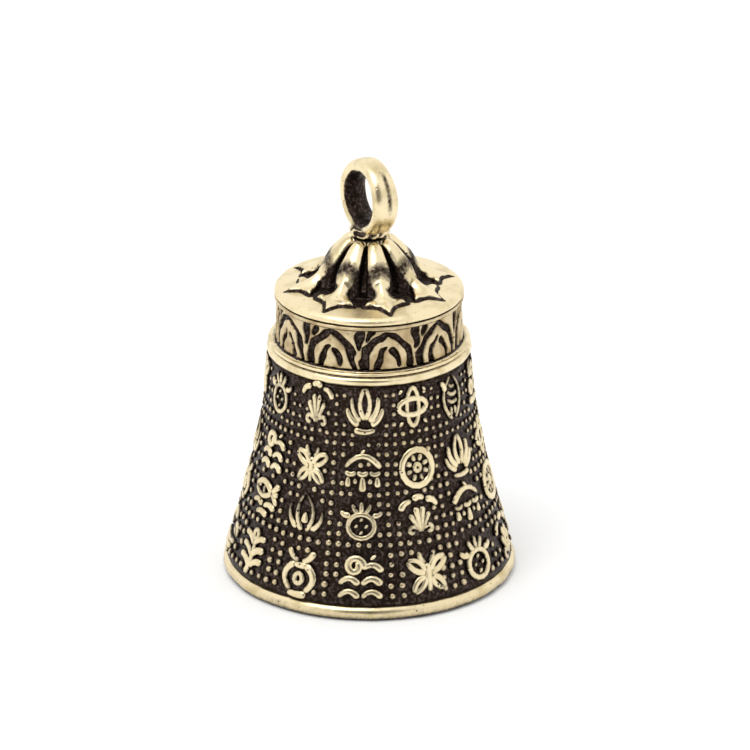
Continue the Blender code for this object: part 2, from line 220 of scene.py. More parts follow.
def bump_at(value: np.ndarray, middle: float, reach: float) -> np.ndarray:
    """A soft bump that is 1 at the middle and fades out over its reach."""
    return np.exp(-(((value - middle) / reach) ** 2))


def radius_of(points: np.ndarray) -> np.ndarray:
    """Returns how far each place is from the bell's axis."""
    return np.hypot(points[:, 0], points[:, 1])


def tidy_mesh(obj: Piece, distance: float = 0.0001 * MM) -> None:
    """Merges doubled vertices and turns every face outwards.

    Args:
        obj: The object to tidy.
        distance: How close two vertices are to be one.
    """
    bm = bmesh.new()
    bm.from_mesh(obj.data)
    bmesh.ops.remove_doubles(bm, verts=bm.verts, dist=distance)
    bmesh.ops.dissolve_degenerate(bm, edges=bm.edges, dist=distance)
    bmesh.ops.recalc_face_normals(bm, faces=bm.faces)
    bm.to_mesh(obj.data)
    bm.free()
    obj.data.shade_smooth()


# ---------------------------------------------------------------------------------------------------------
# Node helpers
# ---------------------------------------------------------------------------------------------------------


class NodeWork:
    """Adds nodes to a tree and links them."""

    def __init__(self, tree: bpy.types.NodeTree) -> None:
        """Starts work on a tree."""
        self.tree = tree

    def node(self, kind: str, **settings: object) -> bpy.types.Node:
        """Adds a node and sets its properties.

        Args:
            kind: The node's type.
            settings: Its properties by name.

        Returns:
            The node.
        """
        made = self.tree.nodes.new(kind)
        for key, value in settings.items():
            setattr(made, key, value)
        return made

    def feed(self, socket: Socket, value: object) -> None:
        """Links a socket to another socket, or sets its value.

        Args:
            socket: The input to fill.
            value: A socket, or a plain value.
        """
        if isinstance(value, Socket):
            self.tree.links.new(value, socket)
        else:
            socket.default_value = value

    def maths(self, operation: str, *values: object) -> Socket:
        """Returns the result of a Math node on numbers or sockets.

        Args:
            operation: The node's operation.
            values: Its inputs, in order.

        Returns:
            The socket that carries the result.
        """
        made = self.node("ShaderNodeMath", operation=operation)
        for socket, value in zip(made.inputs, values):
            self.feed(socket, value)
        return made.outputs[0]

    def mapped(self, kind: str, value: Socket, source: tuple, target: tuple = (0.0, 1.0)) -> Socket:
        """Returns a value mapped from one range to another.

        Args:
            kind: LINEAR, or SMOOTHSTEP for soft ends.
            value: The value to map.
            source: The range's ends, as numbers or sockets.
            target: What its ends become.

        Returns:
            The mapped value.
        """
        made = self.node("ShaderNodeMapRange", interpolation_type=kind)
        given = {"Value": value, "From Min": source[0], "From Max": source[1]}
        given |= {"To Min": target[0], "To Max": target[1]}
        for name, item in given.items():
            self.feed(made.inputs[name], item)
        return made.outputs["Result"]


class ShaderWork(NodeWork):
    """Adds a material's nodes."""

    def noise(self, place: Socket, waves: float, detail: float) -> Socket:
        """Returns a noise value from 0 to 1 with so many waves to the metre.

        Args:
            place: The coordinates.
            waves: How many waves to the metre.
            detail: How many finer layers it has.

        Returns:
            The noise.
        """
        made = self.node("ShaderNodeTexNoise")
        self.feed(made.inputs["Vector"], place)
        self.feed(made.inputs["Scale"], waves)
        self.feed(made.inputs["Detail"], detail)
        return made.outputs["Fac"]

    def cells(self, place: Socket, count: float) -> Socket:
        """Returns the way to the nearest of scattered points, so many to the metre.

        Args:
            place: The coordinates.
            count: How many points to the metre.

        Returns:
            The distance.
        """
        made = self.node("ShaderNodeTexVoronoi")
        self.feed(made.inputs["Vector"], place)
        self.feed(made.inputs["Scale"], count)
        return made.outputs["Distance"]

    def mix(self, share: Socket, first: object, second: object) -> Socket:
        """Returns a mix of two colours or colour sockets.

        Args:
            share: How much of the second colour there is.
            first: The first colour.
            second: The second colour.

        Returns:
            The mixed colour.
        """
        made = self.node("ShaderNodeMix", data_type="RGBA")
        self.feed(made.inputs[0], share)
        for socket, value in ((made.inputs[6], first), (made.inputs[7], second)):
            self.feed(socket, value if isinstance(value, Socket) else (*value, 1.0))
        return made.outputs[2]


class NodeGroup(NodeWork):
    """A Geometry Nodes tree under construction, with named inputs."""

    def __init__(self, name: str) -> None:
        """Starts an empty tree that takes and gives one geometry.

        Args:
            name: The tree's name.
        """
        super().__init__(bpy.data.node_groups.new(name, "GeometryNodeTree"))
        for way in ("INPUT", "OUTPUT"):
            self.tree.interface.new_socket("Geometry", in_out=way, socket_type="NodeSocketGeometry")
        self.enter = self.node("NodeGroupInput")
        self.leave = self.node("NodeGroupOutput")

    def size(self, name: str, value: float) -> Socket:
        """Adds a named number input with its value and returns its socket inside the tree.

        Args:
            name: The input's name.
            value: Its value.

        Returns:
            Its socket.
        """
        socket = self.tree.interface.new_socket(name, in_out="INPUT", socket_type="NodeSocketFloat")
        socket.default_value = value
        return self.enter.outputs[name]

    def thing(self, name: str, kind: str) -> Socket:
        """Adds a named input of a socket kind, such as an object or a material, and returns its socket."""
        self.tree.interface.new_socket(name, in_out="INPUT", socket_type=kind)
        return self.enter.outputs[name]

    def split(self, vector: Socket) -> tuple[Socket, ...]:
        """Returns the X, Y and Z sockets of a vector."""
        made = self.node("ShaderNodeSeparateXYZ")
        self.feed(made.inputs[0], vector)
        return made.outputs[0], made.outputs[1], made.outputs[2]

    def place(self) -> tuple[Socket, ...]:
        """Returns the X, Y and Z sockets of each point's place."""
        return self.split(self.node("GeometryNodeInputPosition").outputs[0])

    def vector(self, x: object, y: object, z: object) -> Socket:
        """Returns a vector made of three numbers or sockets.

        Args:
            x: Its X.
            y: Its Y.
            z: Its Z.

        Returns:
            The vector.
        """
        made = self.node("ShaderNodeCombineXYZ")
        for socket, value in zip(made.inputs, (x, y, z)):
            self.feed(socket, value)
        return made.outputs[0]

    def moved(self, geometry: Socket, place: Socket) -> Socket:
        """Returns a geometry with its points put at new places.

        Args:
            geometry: The geometry.
            place: Where each point goes.

        Returns:
            The moved geometry.
        """
        made = self.node("GeometryNodeSetPosition")
        self.feed(made.inputs["Geometry"], geometry)
        self.feed(made.inputs["Position"], place)
        return made.outputs[0]

    def stored(self, geometry: Socket, name: str, kind: str, value: Socket) -> Socket:
        """Returns a geometry whose points carry a value under a name.

        Args:
            geometry: The geometry.
            name: The attribute's name.
            kind: FLOAT or FLOAT_VECTOR.
            value: The value at each point.

        Returns:
            The geometry with the attribute on it.
        """
        made = self.node("GeometryNodeStoreNamedAttribute", data_type=kind, domain="POINT")
        made.inputs["Name"].default_value = name
        self.feed(made.inputs["Geometry"], geometry)
        self.feed(made.inputs["Value"], value)
        return made.outputs[0]

    def carried(self, name: str, kind: str) -> Socket:
        """Returns the value that points carry under a name.

        Args:
            name: The attribute's name.
            kind: FLOAT or FLOAT_VECTOR.

        Returns:
            The value.
        """
        made = self.node("GeometryNodeInputNamedAttribute", data_type=kind)
        made.inputs["Name"].default_value = name
        return made.outputs["Attribute"]

    def finish(self, geometry: Socket, material: Socket) -> None:
        """Ends the tree in Realize Instances and Set Material.

        Args:
            geometry: What the tree has made.
            material: The material to set.
        """
        real = self.node("GeometryNodeRealizeInstances")
        self.feed(real.inputs["Geometry"], geometry)
        painted = self.node("GeometryNodeSetMaterial")
        self.feed(painted.inputs["Geometry"], real.outputs["Geometry"])
        self.feed(painted.inputs["Material"], material)
        self.feed(self.leave.inputs["Geometry"], painted.outputs["Geometry"])


def grown(name: str, source: Piece, group: NodeGroup, things: dict[str, object]) -> Piece:
    """Runs a Geometry Nodes tree on an object and returns the result as a plain mesh object.

    Args:
        name: Name of the new object.
        source: The object that the tree starts from. It is removed.
        group: The tree.
        things: Values of its named inputs that aren't plain numbers.

    Returns:
        The finished object, with no modifier on it.
    """
    modifier = source.modifiers.new(group.tree.name, "NODES")
    modifier.node_group = group.tree
    for item in group.tree.interface.items_tree:
        if item.name in things and item.in_out == "INPUT":
            modifier[item.identifier] = things[item.name]
    graph = bpy.context.evaluated_depsgraph_get()
    mesh = bpy.data.meshes.new_from_object(source.evaluated_get(graph))
    mesh.name = name
    mesh.shade_smooth()
    bpy.data.objects.remove(source)
    obj = bpy.data.objects.new(name, mesh)
    bpy.context.scene.collection.objects.link(obj)
    return obj


# ---------------------------------------------------------------------------------------------------------
# Finishes
# ---------------------------------------------------------------------------------------------------------


@dataclass(frozen=True)
class CastBrass:
    """Antique cast brass: brown patina in the recesses, rubbed through to metal on what stands proud.

    The mesh attribute called relief says how proud the surface stands. In a few places it is lowered to paint
    shade and dark reflections in the patina's colour.
    """

    name: str
    metal: Colour = (0.86, 0.73, 0.47)
    warm: Colour = (0.52, 0.415, 0.20)
    patina: Colour = (0.022, 0.014, 0.010)
    haze: Colour = (0.105, 0.078, 0.070)
    metal_roughness: float = 0.24
    patina_roughness: float = 0.42
    roughness_spread: float = 0.12
    wear_starts: float = 0.35
    wear_ends: float = 0.75
    mottle: float = 0.35
    warm_share: float = 0.5
    spots: float = 0.4
    pits: float = 0.4
    grain: float = 0.35
    coarse_waves: float = 700.0
    fine_waves: float = 4200.0
    grit_waves: float = 15000.0
    spot_count: float = 1500.0
    pit_count: float = 3200.0
    bump_strength: float = 0.5
    bump_depth: float = 0.03 * MM

    def build(self) -> bpy.types.Material:
        """Returns the material, made of procedural nodes on Object coordinates.

        Returns:
            The material.
        """
        material = bpy.data.materials.new(self.name)
        material.use_nodes = True
        work = ShaderWork(material.node_tree)
        shader = material.node_tree.nodes["Principled BSDF"]
        place = work.node("ShaderNodeTexCoord").outputs["Object"]
        coarse = work.noise(place, self.coarse_waves, 3.0)
        fine = work.noise(place, self.fine_waves, 4.0)
        grit = work.noise(place, self.grit_waves, 2.0)
        spotted = work.maths("MULTIPLY_ADD", fine, -0.3, work.cells(place, self.spot_count))
        spotted = work.mapped("SMOOTHSTEP", spotted, (-0.1, 0.03))

        wear = self.wear(work, coarse, fine, spotted)
        warmth = work.mapped("SMOOTHSTEP", coarse, (0.42, 0.72))
        metal = work.mix(work.maths("MULTIPLY", warmth, self.warm_share), self.metal, self.warm)
        ground = work.mix(work.mapped("SMOOTHSTEP", fine, (0.44, 0.76)), self.patina, self.haze)
        rough = work.mapped("LINEAR", wear, (0.0, 1.0), (self.patina_roughness, self.metal_roughness))
        rough = work.maths("MULTIPLY_ADD", grit, self.roughness_spread, rough)

        pitted = work.mapped("SMOOTHSTEP", work.cells(place, self.pit_count), (0.05, 0.26))
        height = work.maths("MULTIPLY", pitted, self.pits)
        height = work.maths("MULTIPLY_ADD", fine, self.grain, height)
        height = work.maths("MULTIPLY_ADD", grit, self.grain * 0.3, height)
        bump = work.node("ShaderNodeBump")
        work.feed(bump.inputs["Strength"], self.bump_strength)
        work.feed(bump.inputs["Distance"], self.bump_depth)
        work.feed(bump.inputs["Height"], height)

        work.feed(shader.inputs["Metallic"], 1.0)
        work.feed(shader.inputs["Base Color"], work.mix(wear, ground, metal))
        work.feed(shader.inputs["Roughness"], rough)
        work.feed(shader.inputs["Normal"], bump.outputs["Normal"])
        return material

    def wear(self, work: ShaderWork, coarse: Socket, fine: Socket, spotted: Socket) -> Socket:
        """Returns how far the surface is rubbed through to metal, from 0 to 1.

        Args:
            work: The material's nodes.
            coarse: Broad noise.
            fine: Fine noise.
            spotted: 0 in small scattered spots that stay dark, and 1 elsewhere.

        Returns:
            The socket that carries the wear.
        """
        raised = work.node("ShaderNodeAttribute", attribute_name=RELIEF).outputs["Fac"]
        broken = work.maths("MULTIPLY_ADD", coarse, self.mottle, raised)
        broken = work.maths("MULTIPLY_ADD", fine, self.mottle, broken)
        broken = work.maths("MULTIPLY_ADD", spotted, self.spots, broken)
        broken = work.maths("SUBTRACT", broken, self.mottle + self.spots)
        return work.mapped("SMOOTHSTEP", broken, (self.wear_starts, self.wear_ends))


class Finish(Enum):
    """The finishes of the bell's pieces."""

    SKIRT_GROUND = CastBrass(
        "skirt_ground", wear_starts=0.7, wear_ends=1.2, patina_roughness=0.38, pits=0.5, grain=0.2
    )
    MARKS = CastBrass("rubbed_marks", wear_starts=0.45, wear_ends=0.9, pits=0.1)
    BEADS = CastBrass(
        "rubbed_beads", metal=(0.74, 0.61, 0.40), wear_starts=0.55, wear_ends=1.05, mottle=0.3, pits=0.1
    )
    DRUM = CastBrass(
        "rubbed_drum",
        metal=(0.70, 0.575, 0.36),
        warm=(0.40, 0.29, 0.15),
        wear_starts=0.4,
        wear_ends=1.0,
        mottle=0.5,
        warm_share=0.9,
        metal_roughness=0.42,
        pits=1.2,
        grain=0.7,
    )
    LIP = CastBrass(
        "polished_lip", metal=(0.80, 0.67, 0.42), wear_ends=0.95, mottle=0.4, warm_share=0.8, pits=0.6
    )
    RING = CastBrass("polished_ring", wear_ends=0.85, mottle=0.4, warm_share=0.7, pits=0.6)
    CAP = CastBrass(
        "polished_cap",
        wear_starts=0.3,
        wear_ends=0.8,
        mottle=0.38,
        warm_share=0.55,
        metal_roughness=0.3,
        pits=1.1,
        grain=0.5,
    )
    CROWN = CastBrass("rubbed_crown", wear_starts=0.32, wear_ends=0.8, mottle=0.36, warm_share=0.6)
    LOOP = CastBrass(
        "polished_loop", wear_starts=0.32, wear_ends=0.8, mottle=0.34, warm_share=0.7, pits=0.6
    )
    INNER = CastBrass(
        "dull_inner_brass", metal=(0.55, 0.42, 0.24), metal_roughness=0.4, wear_starts=0.2, wear_ends=1.0
    )
    CLAPPER = CastBrass("worn_clapper", metal=(0.68, 0.53, 0.31), metal_roughness=0.32, wear_starts=0.2)


class Dresser:
    """Makes each finish once and puts it on pieces."""

    def __init__(self) -> None:
        """Starts with no finishes made."""
        self.made: dict[Finish, bpy.types.Material] = {}

    def material(self, finish: Finish) -> bpy.types.Material:
        """Returns a finish's material, making it at its first use.

        Args:
            finish: The finish.

        Returns:
            Its material.
        """
        if finish not in self.made:
            self.made[finish] = finish.value.build()
        return self.made[finish]

    def dress(self, obj: Piece, finish: Finish, slot: str, body: str, *nodes: str) -> None:
        """Gives a piece its finish, and says which body it rides on and what it stands for.

        Args:
            obj: The piece.
            finish: Its finish.
            slot: The record's material slot. It is not used.
            body: The body it moves with.
            nodes: The frame's nodes that it replaces.
        """
        obj.data.materials.clear()
        obj.data.materials.append(self.material(finish))
        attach(obj, body)
        for node in nodes:
            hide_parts(node)
        obj.data.calc_loop_triangles()
        log.info("%s: %d triangles on %s", obj.name, len(obj.data.loop_triangles), body)


# ---------------------------------------------------------------------------------------------------------
# Brush strokes and ornaments
# ---------------------------------------------------------------------------------------------------------


@dataclass(frozen=True)
class Stroke:
    """A line with a changing width, in the unit square from -1 to 1 that an ornament fills."""

    points: np.ndarray
    widths: np.ndarray

    def mirrored(self) -> "Stroke":
        """Returns the same stroke turned over left to right."""
        return Stroke(self.points * np.array([-1.0, 1.0]), self.widths)


def brushed(points: np.ndarray, start: float, end: float) -> Stroke:
    """Returns a stroke along points with rounded ends, whose width changes from start to end.

    Args:
        points: N by 2 places.
        start: Width near the first point, as a share of the brush's width.
        end: Width near the last point.

    Returns:
        The stroke.
    """
    gone = np.concatenate([[0.0], np.cumsum(np.linalg.norm(np.diff(points, axis=0), axis=1))])
    from_end = np.minimum(gone, gone[-1] - gone) / ROUND_END
    rounding = np.sqrt(np.clip(1 - (1 - np.clip(from_end, 0, 1)) ** 2, 0.002, 1))
    return Stroke(points, (start + (end - start) * gone / gone[-1]) * rounding)


def close_at_ends(points: int) -> np.ndarray:
    """Returns shares from 0 to 1 that lie close together at both ends."""
    return (1 - np.cos(np.linspace(0, np.pi, points))) / 2


def bow(
    x: float, y: float, to_x: float, to_y: float, sag: float, start: float = 1.0, end: float = 0.7
) -> Stroke:
    """Returns a curved stroke between two points.

    Args:
        x: The first point's way across.
        y: The first point's way up.
        to_x: The last point's way across.
        to_y: The last point's way up.
        sag: How far its middle stands off to the left of its way.
        start: Width near the first point.
        end: Width near the last point.

    Returns:
        The stroke.
    """
    share = close_at_ends(BOW_POINTS)
    first = np.array([x, y])
    way = np.array([to_x, to_y]) - first
    aside = np.array([-way[1], way[0]]) / np.linalg.norm(way)
    off = 4 * sag * share * (1 - share)
    return brushed(first + share[:, None] * way + off[:, None] * aside, start, end)


def curl(x: float, y: float, radius: float, turns: float, start: float, width: float = 0.9) -> Stroke:
    """Returns a spiral that winds in from its start.

    Args:
        x: Its centre's way across.
        y: Its centre's way up.
        radius: Its radius at the start.
        turns: How many turns it makes, below 0 where it winds clockwise.
        start: Where it starts, in degrees.
        width: Its width.

    Returns:
        The stroke.
    """
    share = close_at_ends(BOW_POINTS + int(12 * abs(turns)))
    angle = math.radians(start) + math.tau * turns * share
    reach = radius * (1 - 0.72 * share)
    return brushed(np.stack([x + reach * np.cos(angle), y + reach * np.sin(angle)], axis=-1), width, width)


def hoop(x: float, y: float, across: float, up: float, width: float = 0.8) -> Stroke:
    """Returns a closed oval.

    Args:
        x: Its centre's way across.
        y: Its centre's way up.
        across: Half its size across.
        up: Half its height.
        width: Its line's width.

    Returns:
        The stroke.
    """
    angle = np.linspace(0, math.tau, HOOP_POINTS)
    points = np.stack([x + across * np.cos(angle), y + up * np.sin(angle)], axis=-1)
    return Stroke(points, np.full(HOOP_POINTS, width))


def seed_dot(x: float, y: float, width: float = 1.1) -> Stroke:
    """Returns a short fat stroke."""
    half = 0.07
    return bow(x - half, y - half, x + half, y + half, 0.0, width, width)


def both_sides(*strokes: Stroke) -> list[Stroke]:
    """Returns the strokes and their mirror images."""
    return [s for stroke in strokes for s in (stroke, stroke.mirrored())]


def lotus() -> list[Stroke]:
    """An open lotus on a calyx.

    Returns:
        Its strokes.
    """
    petals = both_sides(bow(0.0, -0.5, 0.0, 0.95, -0.28), bow(0.2, -0.55, 0.72, 0.55, -0.2))
    return petals + both_sides(bow(0.3, -0.7, 1.0, 0.05, -0.16)) + [bow(-0.6, -0.9, 0.6, -0.9, -0.12)]


def cloud() -> list[Stroke]:
    """A billowing cloud over three ripples.

    Returns:
        Its strokes.
    """
    billows = [bow(-0.42, 0.5, 0.42, 0.5, 0.42), bow(-0.26, 0.45, 0.26, 0.45, 0.14, 0.7, 0.7)]
    sides = both_sides(bow(0.5, 0.42, 0.98, -0.1, 0.22), bow(0.32, 0.1, 0.7, -0.12, 0.12, 0.7, 0.7))
    ripples = ((0.92, -0.32, -0.14), (0.6, -0.62, -0.14), (0.3, -0.92, -0.1))
    return billows + sides + [bow(-half, y, half, y, sag) for half, y, sag in ripples]


def waves() -> list[Stroke]:
    """Three rows of waves, the uppermost breaking.

    Returns:
        Its strokes.
    """
    rows = [bow(x, y, x + 0.85, y, 0.3) for y in (-0.9, -0.35) for x in (-0.9, 0.05)]
    breaker = [curl(0.25, 0.45, 0.42, -1.3, 200), bow(-0.95, 0.2, -0.1, 0.35, 0.25)]
    return rows + breaker + [seed_dot(-0.55, 0.85)]


def flame() -> list[Stroke]:
    """A flame with a drop in its heart.

    Returns:
        Its strokes.
    """
    tongues = [bow(-0.1, -0.9, 0.1, 1.0, 0.42, 0.9, 0.4), bow(0.1, -0.9, 0.1, 1.0, -0.34, 0.9, 0.4)]
    low = both_sides(bow(0.35, -0.8, 0.85, 0.35, -0.22, 1.0, 0.4))
    return tongues + low + [bow(0, -0.5, 0, 0.1, 0.0, 1.2, 0.5)]


def knot() -> list[Stroke]:
    """Two ovals woven through each other, with a dot in each corner.

    Returns:
        Its strokes.
    """
    ovals = [hoop(0, 0, 0.85, 0.36), hoop(0, 0, 0.36, 0.85)]
    return ovals + both_sides(seed_dot(0.72, 0.72), seed_dot(0.72, -0.72))


def sprig() -> list[Stroke]:
    """A bending stem with pairs of leaves and a bud.

    Returns:
        Its strokes.
    """
    leaves = []
    for y in (-0.7, -0.2, 0.3):
        leaves += [bow(0.0, y, side * 0.8, y + 0.42, side * 0.16, 0.8, 1.0) for side in (-1, 1)]
    return leaves + [bow(-0.15, -1.0, 0.05, 0.6, -0.1), hoop(0.05, 0.82, 0.16, 0.2)]


def shell() -> list[Stroke]:
    """A fan shell: ribs under a scalloped edge.

    Returns:
        Its strokes.
    """
    ribs = []
    for lean in (-0.75, -0.25, 0.25, 0.75):
        ribs.append(bow(0, -0.85, 0.75 * math.sin(lean), -0.85 + 1.35 * math.cos(lean), 0.0, 0.6, 0.9))
    edge = [bow(-0.95, 0.3, -0.35, 0.75, 0.16), bow(-0.3, 0.78, 0.3, 0.78, 0.16)]
    edge.append(bow(0.35, 0.75, 0.95, 0.3, 0.16))
    return ribs + edge + both_sides(curl(0.42, -0.72, 0.24, -1.0, 180, 0.7))


def parasol() -> list[Stroke]:
    """A fringed parasol with tassels.

    Returns:
        Its strokes.
    """
    top = [bow(-0.95, 0.15, 0.95, 0.15, 0.6), seed_dot(0, 0.95)]
    fringe = [bow(x, 0.02, x + 0.58, 0.02, -0.16, 0.7, 0.7) for x in (-0.92, -0.29, 0.34)]
    ends = ((-0.75, -0.75), (0.0, -0.95), (0.75, -0.75))
    tassels = [bow(x, -0.22, x, low, 0.0, 0.6, 1.1) for x, low in ends]
    return top + fringe + tassels + both_sides(bow(0.38, -0.3, 0.38, -0.6, 0.0, 0.6, 0.9))


def vase() -> list[Stroke]:
    """A round vase with a spray in it.

    Returns:
        Its strokes.
    """
    sides = both_sides(bow(0.22, 0.35, 0.3, -0.85, 0.42), bow(0.05, 0.45, 0.6, 0.95, -0.14, 0.7, 0.9))
    rims = [bow(-0.45, -0.92, 0.45, -0.92, -0.05), bow(-0.35, 0.32, 0.35, 0.32, -0.06)]
    return sides + rims + [hoop(0, -0.3, 0.18, 0.22)]


def wheel() -> list[Stroke]:
    """A spoked wheel with a round hub.

    Returns:
        Its strokes.
    """
    spokes = [(math.cos(a), math.sin(a)) for a in np.radians(np.arange(8) * 45 + 22.5)]
    made = [bow(0.3 * x, 0.3 * y, 0.7 * x, 0.7 * y, 0.0, 0.7, 0.7) for x, y in spokes]
    return made + [hoop(0, 0, 0.86, 0.86, 1.0), hoop(0, 0, 0.16, 0.16, 0.8)]


def jewels() -> list[Stroke]:
    """Three round jewels among flames.

    Returns:
        Its strokes.
    """
    stones = [hoop(x, y, 0.25, 0.25) for x, y in ((0, 0.4), (-0.42, -0.35), (0.42, -0.35))]
    flames = both_sides(bow(0.35, 0.1, 0.3, 1.0, -0.28, 0.9, 0.4))
    return stones + flames + [bow(-0.9, -0.85, 0.9, -0.85, -0.14)]


def fish() -> list[Stroke]:
    """A fish over three ripples.

    Returns:
        Its strokes.
    """
    body = [bow(-0.5, 0.32, 0.95, 0.32, 0.4), bow(-0.5, 0.32, 0.95, 0.32, -0.34), seed_dot(0.55, 0.42, 0.8)]
    tail = [bow(-0.5, 0.32, -1.0, y, 0.0, 0.7, 1.0) for y in (0.85, 0.32, -0.2)]
    ripples = [bow(x, -0.5, x + 0.85, -0.5, 0.2) for x in (-0.9, 0.05)]
    ripples.append(bow(-0.45, -0.92, 0.45, -0.92, 0.16))
    return body + tail + ripples + [bow(0.1, 0.55, 0.1, 0.1, 0.06, 0.6, 0.6)]


def conch() -> list[Stroke]:
    """A long conch shell with ribs and a tapering mouth.

    Returns:
        Its strokes.
    """
    body = both_sides(bow(0.08, 0.95, 0.12, -1.0, 0.62, 0.5, 0.8))
    levels = ((0.26, 0.5), (0.44, 0.15), (0.46, -0.2))
    ribs = [bow(-half, y, half, y + 0.14, -0.14, 0.6, 0.6) for half, y in levels]
    mouth = both_sides(bow(0.1, -0.45, 0.05, -0.85, 0.1, 0.8, 0.5))
    return body + ribs + mouth + [bow(0.62, 0.3, 0.98, 0.75, 0.14)]


def butterfly() -> list[Stroke]:
    """A butterfly with two pairs of pointed wings.

    Returns:
        Its strokes.
    """
    upper = both_sides(bow(0.1, 0.05, 0.92, 0.62, 0.24), bow(0.1, 0.05, 0.92, 0.62, -0.16))
    lower = both_sides(bow(0.1, -0.1, 0.7, -0.78, 0.18), bow(0.1, -0.1, 0.7, -0.78, -0.14))
    feelers = both_sides(bow(0.05, 0.45, 0.34, 0.98, -0.1, 0.6, 0.7))
    return upper + lower + feelers + [bow(0, -0.8, 0, 0.45, 0, 0.7, 1.1)]


def pomegranate() -> list[Stroke]:
    """A pomegranate with a crown, seeds and two leaves.

    Returns:
        Its strokes.
    """
    seeds = [seed_dot(x, y, 0.8) for x, y in ((0.0, 0.0), (-0.24, -0.32), (0.24, -0.32), (0.0, -0.64))]
    crown = [bow(0, 0.32, 0, 0.9, 0.0, 0.8, 0.6)] + both_sides(bow(0.12, 0.3, 0.42, 0.8, -0.08, 0.8, 0.6))
    leaves = both_sides(bow(0.5, 0.25, 1.0, 0.45, -0.14, 1.0, 0.6))
    return seeds + crown + [hoop(0, -0.32, 0.62, 0.6)] + leaves


ORNAMENTS: tuple[Callable[[], list[Stroke]], ...] = (
    lotus,
    cloud,
    flame,
    shell,
    knot,
    sprig,
    waves,
    parasol,
    conch,
    vase,
    butterfly,
    wheel,
    jewels,
    fish,
    pomegranate,
)


# ---------------------------------------------------------------------------------------------------------
# Sizes read from the frame
# ---------------------------------------------------------------------------------------------------------


@dataclass(frozen=True)
class BellForm:
    """The bell's main heights and radii, read from the frame's nodes."""

    lip_radius: float
    lip_height: float
    foot_z: float
    foot_radius: float
    waist_radius: float
    ring_z: float
    neck_top: float
    neck_radius: float
    drum_z: float
    drum_top: float
    drum_radius: float
    cap_z: float
    cap_radius: float
    cap_top: float
    head_top: float
    loop_foot: float
    loop_radius: float
    flare_power: float = 1.54
    wall: float = 1.35 * MM
    cap_edge: float = 0.5 * MM

    @classmethod
    def read(cls) -> "BellForm":
        """Measures the form on the frame.

        Returns:
            The form.
        """
        lip, skirt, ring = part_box("mouth_rim"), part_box("bell_skirt"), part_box("waist_ring")
        drum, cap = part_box("shoulder_drum"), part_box("shoulder_cap")
        crown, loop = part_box("lotus_crown"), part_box("suspension_loop")
        waist = ring[1].x - RING_STANDS_OUT
        return cls(
            lip_radius=lip[1].x,
            lip_height=skirt[0].z - SEAT,
            foot_z=skirt[0].z,
            foot_radius=skirt[1].x,
            waist_radius=waist,
            ring_z=ring[0].z,
            neck_top=ring[1].z,
            neck_radius=waist - NECK_STEP,
            drum_z=ring[1].z + SEAT,
            drum_top=drum[1].z,
            drum_radius=drum[1].x,
            cap_z=drum[1].z + SEAT,
            cap_radius=cap[1].x,
            cap_top=cap[1].z,
            head_top=crown[1].z,
            loop_foot=crown[1].z + SEAT,
            loop_radius=loop[1].x,
        )

    @property
    def shoulder_z(self) -> float:
        """Height of the skirt's shoulder, where the waist ring sits."""
        return self.ring_z - SEAT

    def flare(self, z: np.ndarray) -> np.ndarray:
        """Returns the skirt's outer radius at heights z."""
        share = np.clip((self.shoulder_z - z) / (self.shoulder_z - self.foot_z), 0, 1)
        return self.waist_radius + (self.foot_radius - self.waist_radius) * share**self.flare_power

    def dome(self, radius: np.ndarray) -> np.ndarray:
        """Returns the height of the cap's surface at a radius."""
        rise = self.cap_top - self.cap_z - self.cap_edge
        return self.cap_z + self.cap_edge + rise * (1 - (radius / self.cap_radius) ** 2)


# ---------------------------------------------------------------------------------------------------------
# The bell's pieces
# ---------------------------------------------------------------------------------------------------------


@dataclass
class MouthLip:
    """The polished lip round the mouth, dented a little by use."""

    form: BellForm
    bore: float = 9.38 * MM
    rest_inset: float = 0.6 * MM
    top_width: float = 1.1 * MM
    dent_room: float = 0.03 * MM
    dent_depth: float = 0.03 * MM
    dent_length: float = 2.6 * MM
    nick_depth: float = 0.008 * MM
    nick_length: float = 0.8 * MM
    most_out: float = 0.025 * MM
    steps: int = 400

    def mesh(self) -> Piece:
        """Returns the lip, with its flat underside.

        Returns:
            The piece, at rest and at the origin.
        """
        half = self.form.lip_height / 2
        outer = self.form.lip_radius - self.dent_room
        outline = [(self.bore, self.form.lip_height), (outer - self.top_width, self.form.lip_height)]
        outline += arc((outer - half, half), half, 88, -58, 14)
        outline += [(outer - self.rest_inset, 0.0), (self.bore, 0.0)]
        # The flank's relief falls towards its underside: painted shade under the lip's lower edge, shown in
        # the patina's colour.
        flank = [0.8] + [1.0] * 5 + [0.88] * 3 + [0.8, 0.7, 0.6, 0.5, 0.4]
        return turned("lip", outline, self.steps, [0.4, 0.1] + flank + [0.35, 0.35], self.dented)

    def dented(self, points: np.ndarray) -> Carving:
        """Lets the lip's outer edge wander, and leaves its underside flat.

        Args:
            points: Vertex places.

        Returns:
            How far each moves outwards, and its share of the relief.
        """
        outer = smooth_step(points[:, 2], 0.02 * MM, 0.3 * MM)
        wander = ripple(points, self.dent_length, 3) * self.dent_depth
        wander += ripple(points, self.nick_length, 4) * self.nick_depth
        return np.minimum(wander, self.most_out) * outer, np.ones(len(points))

    def dress(self, dresser: Dresser) -> None:
        """Builds and dresses the lip."""
        dresser.dress(self.mesh(), Finish.LIP, "polished_rim", "bell", "mouth_rim")


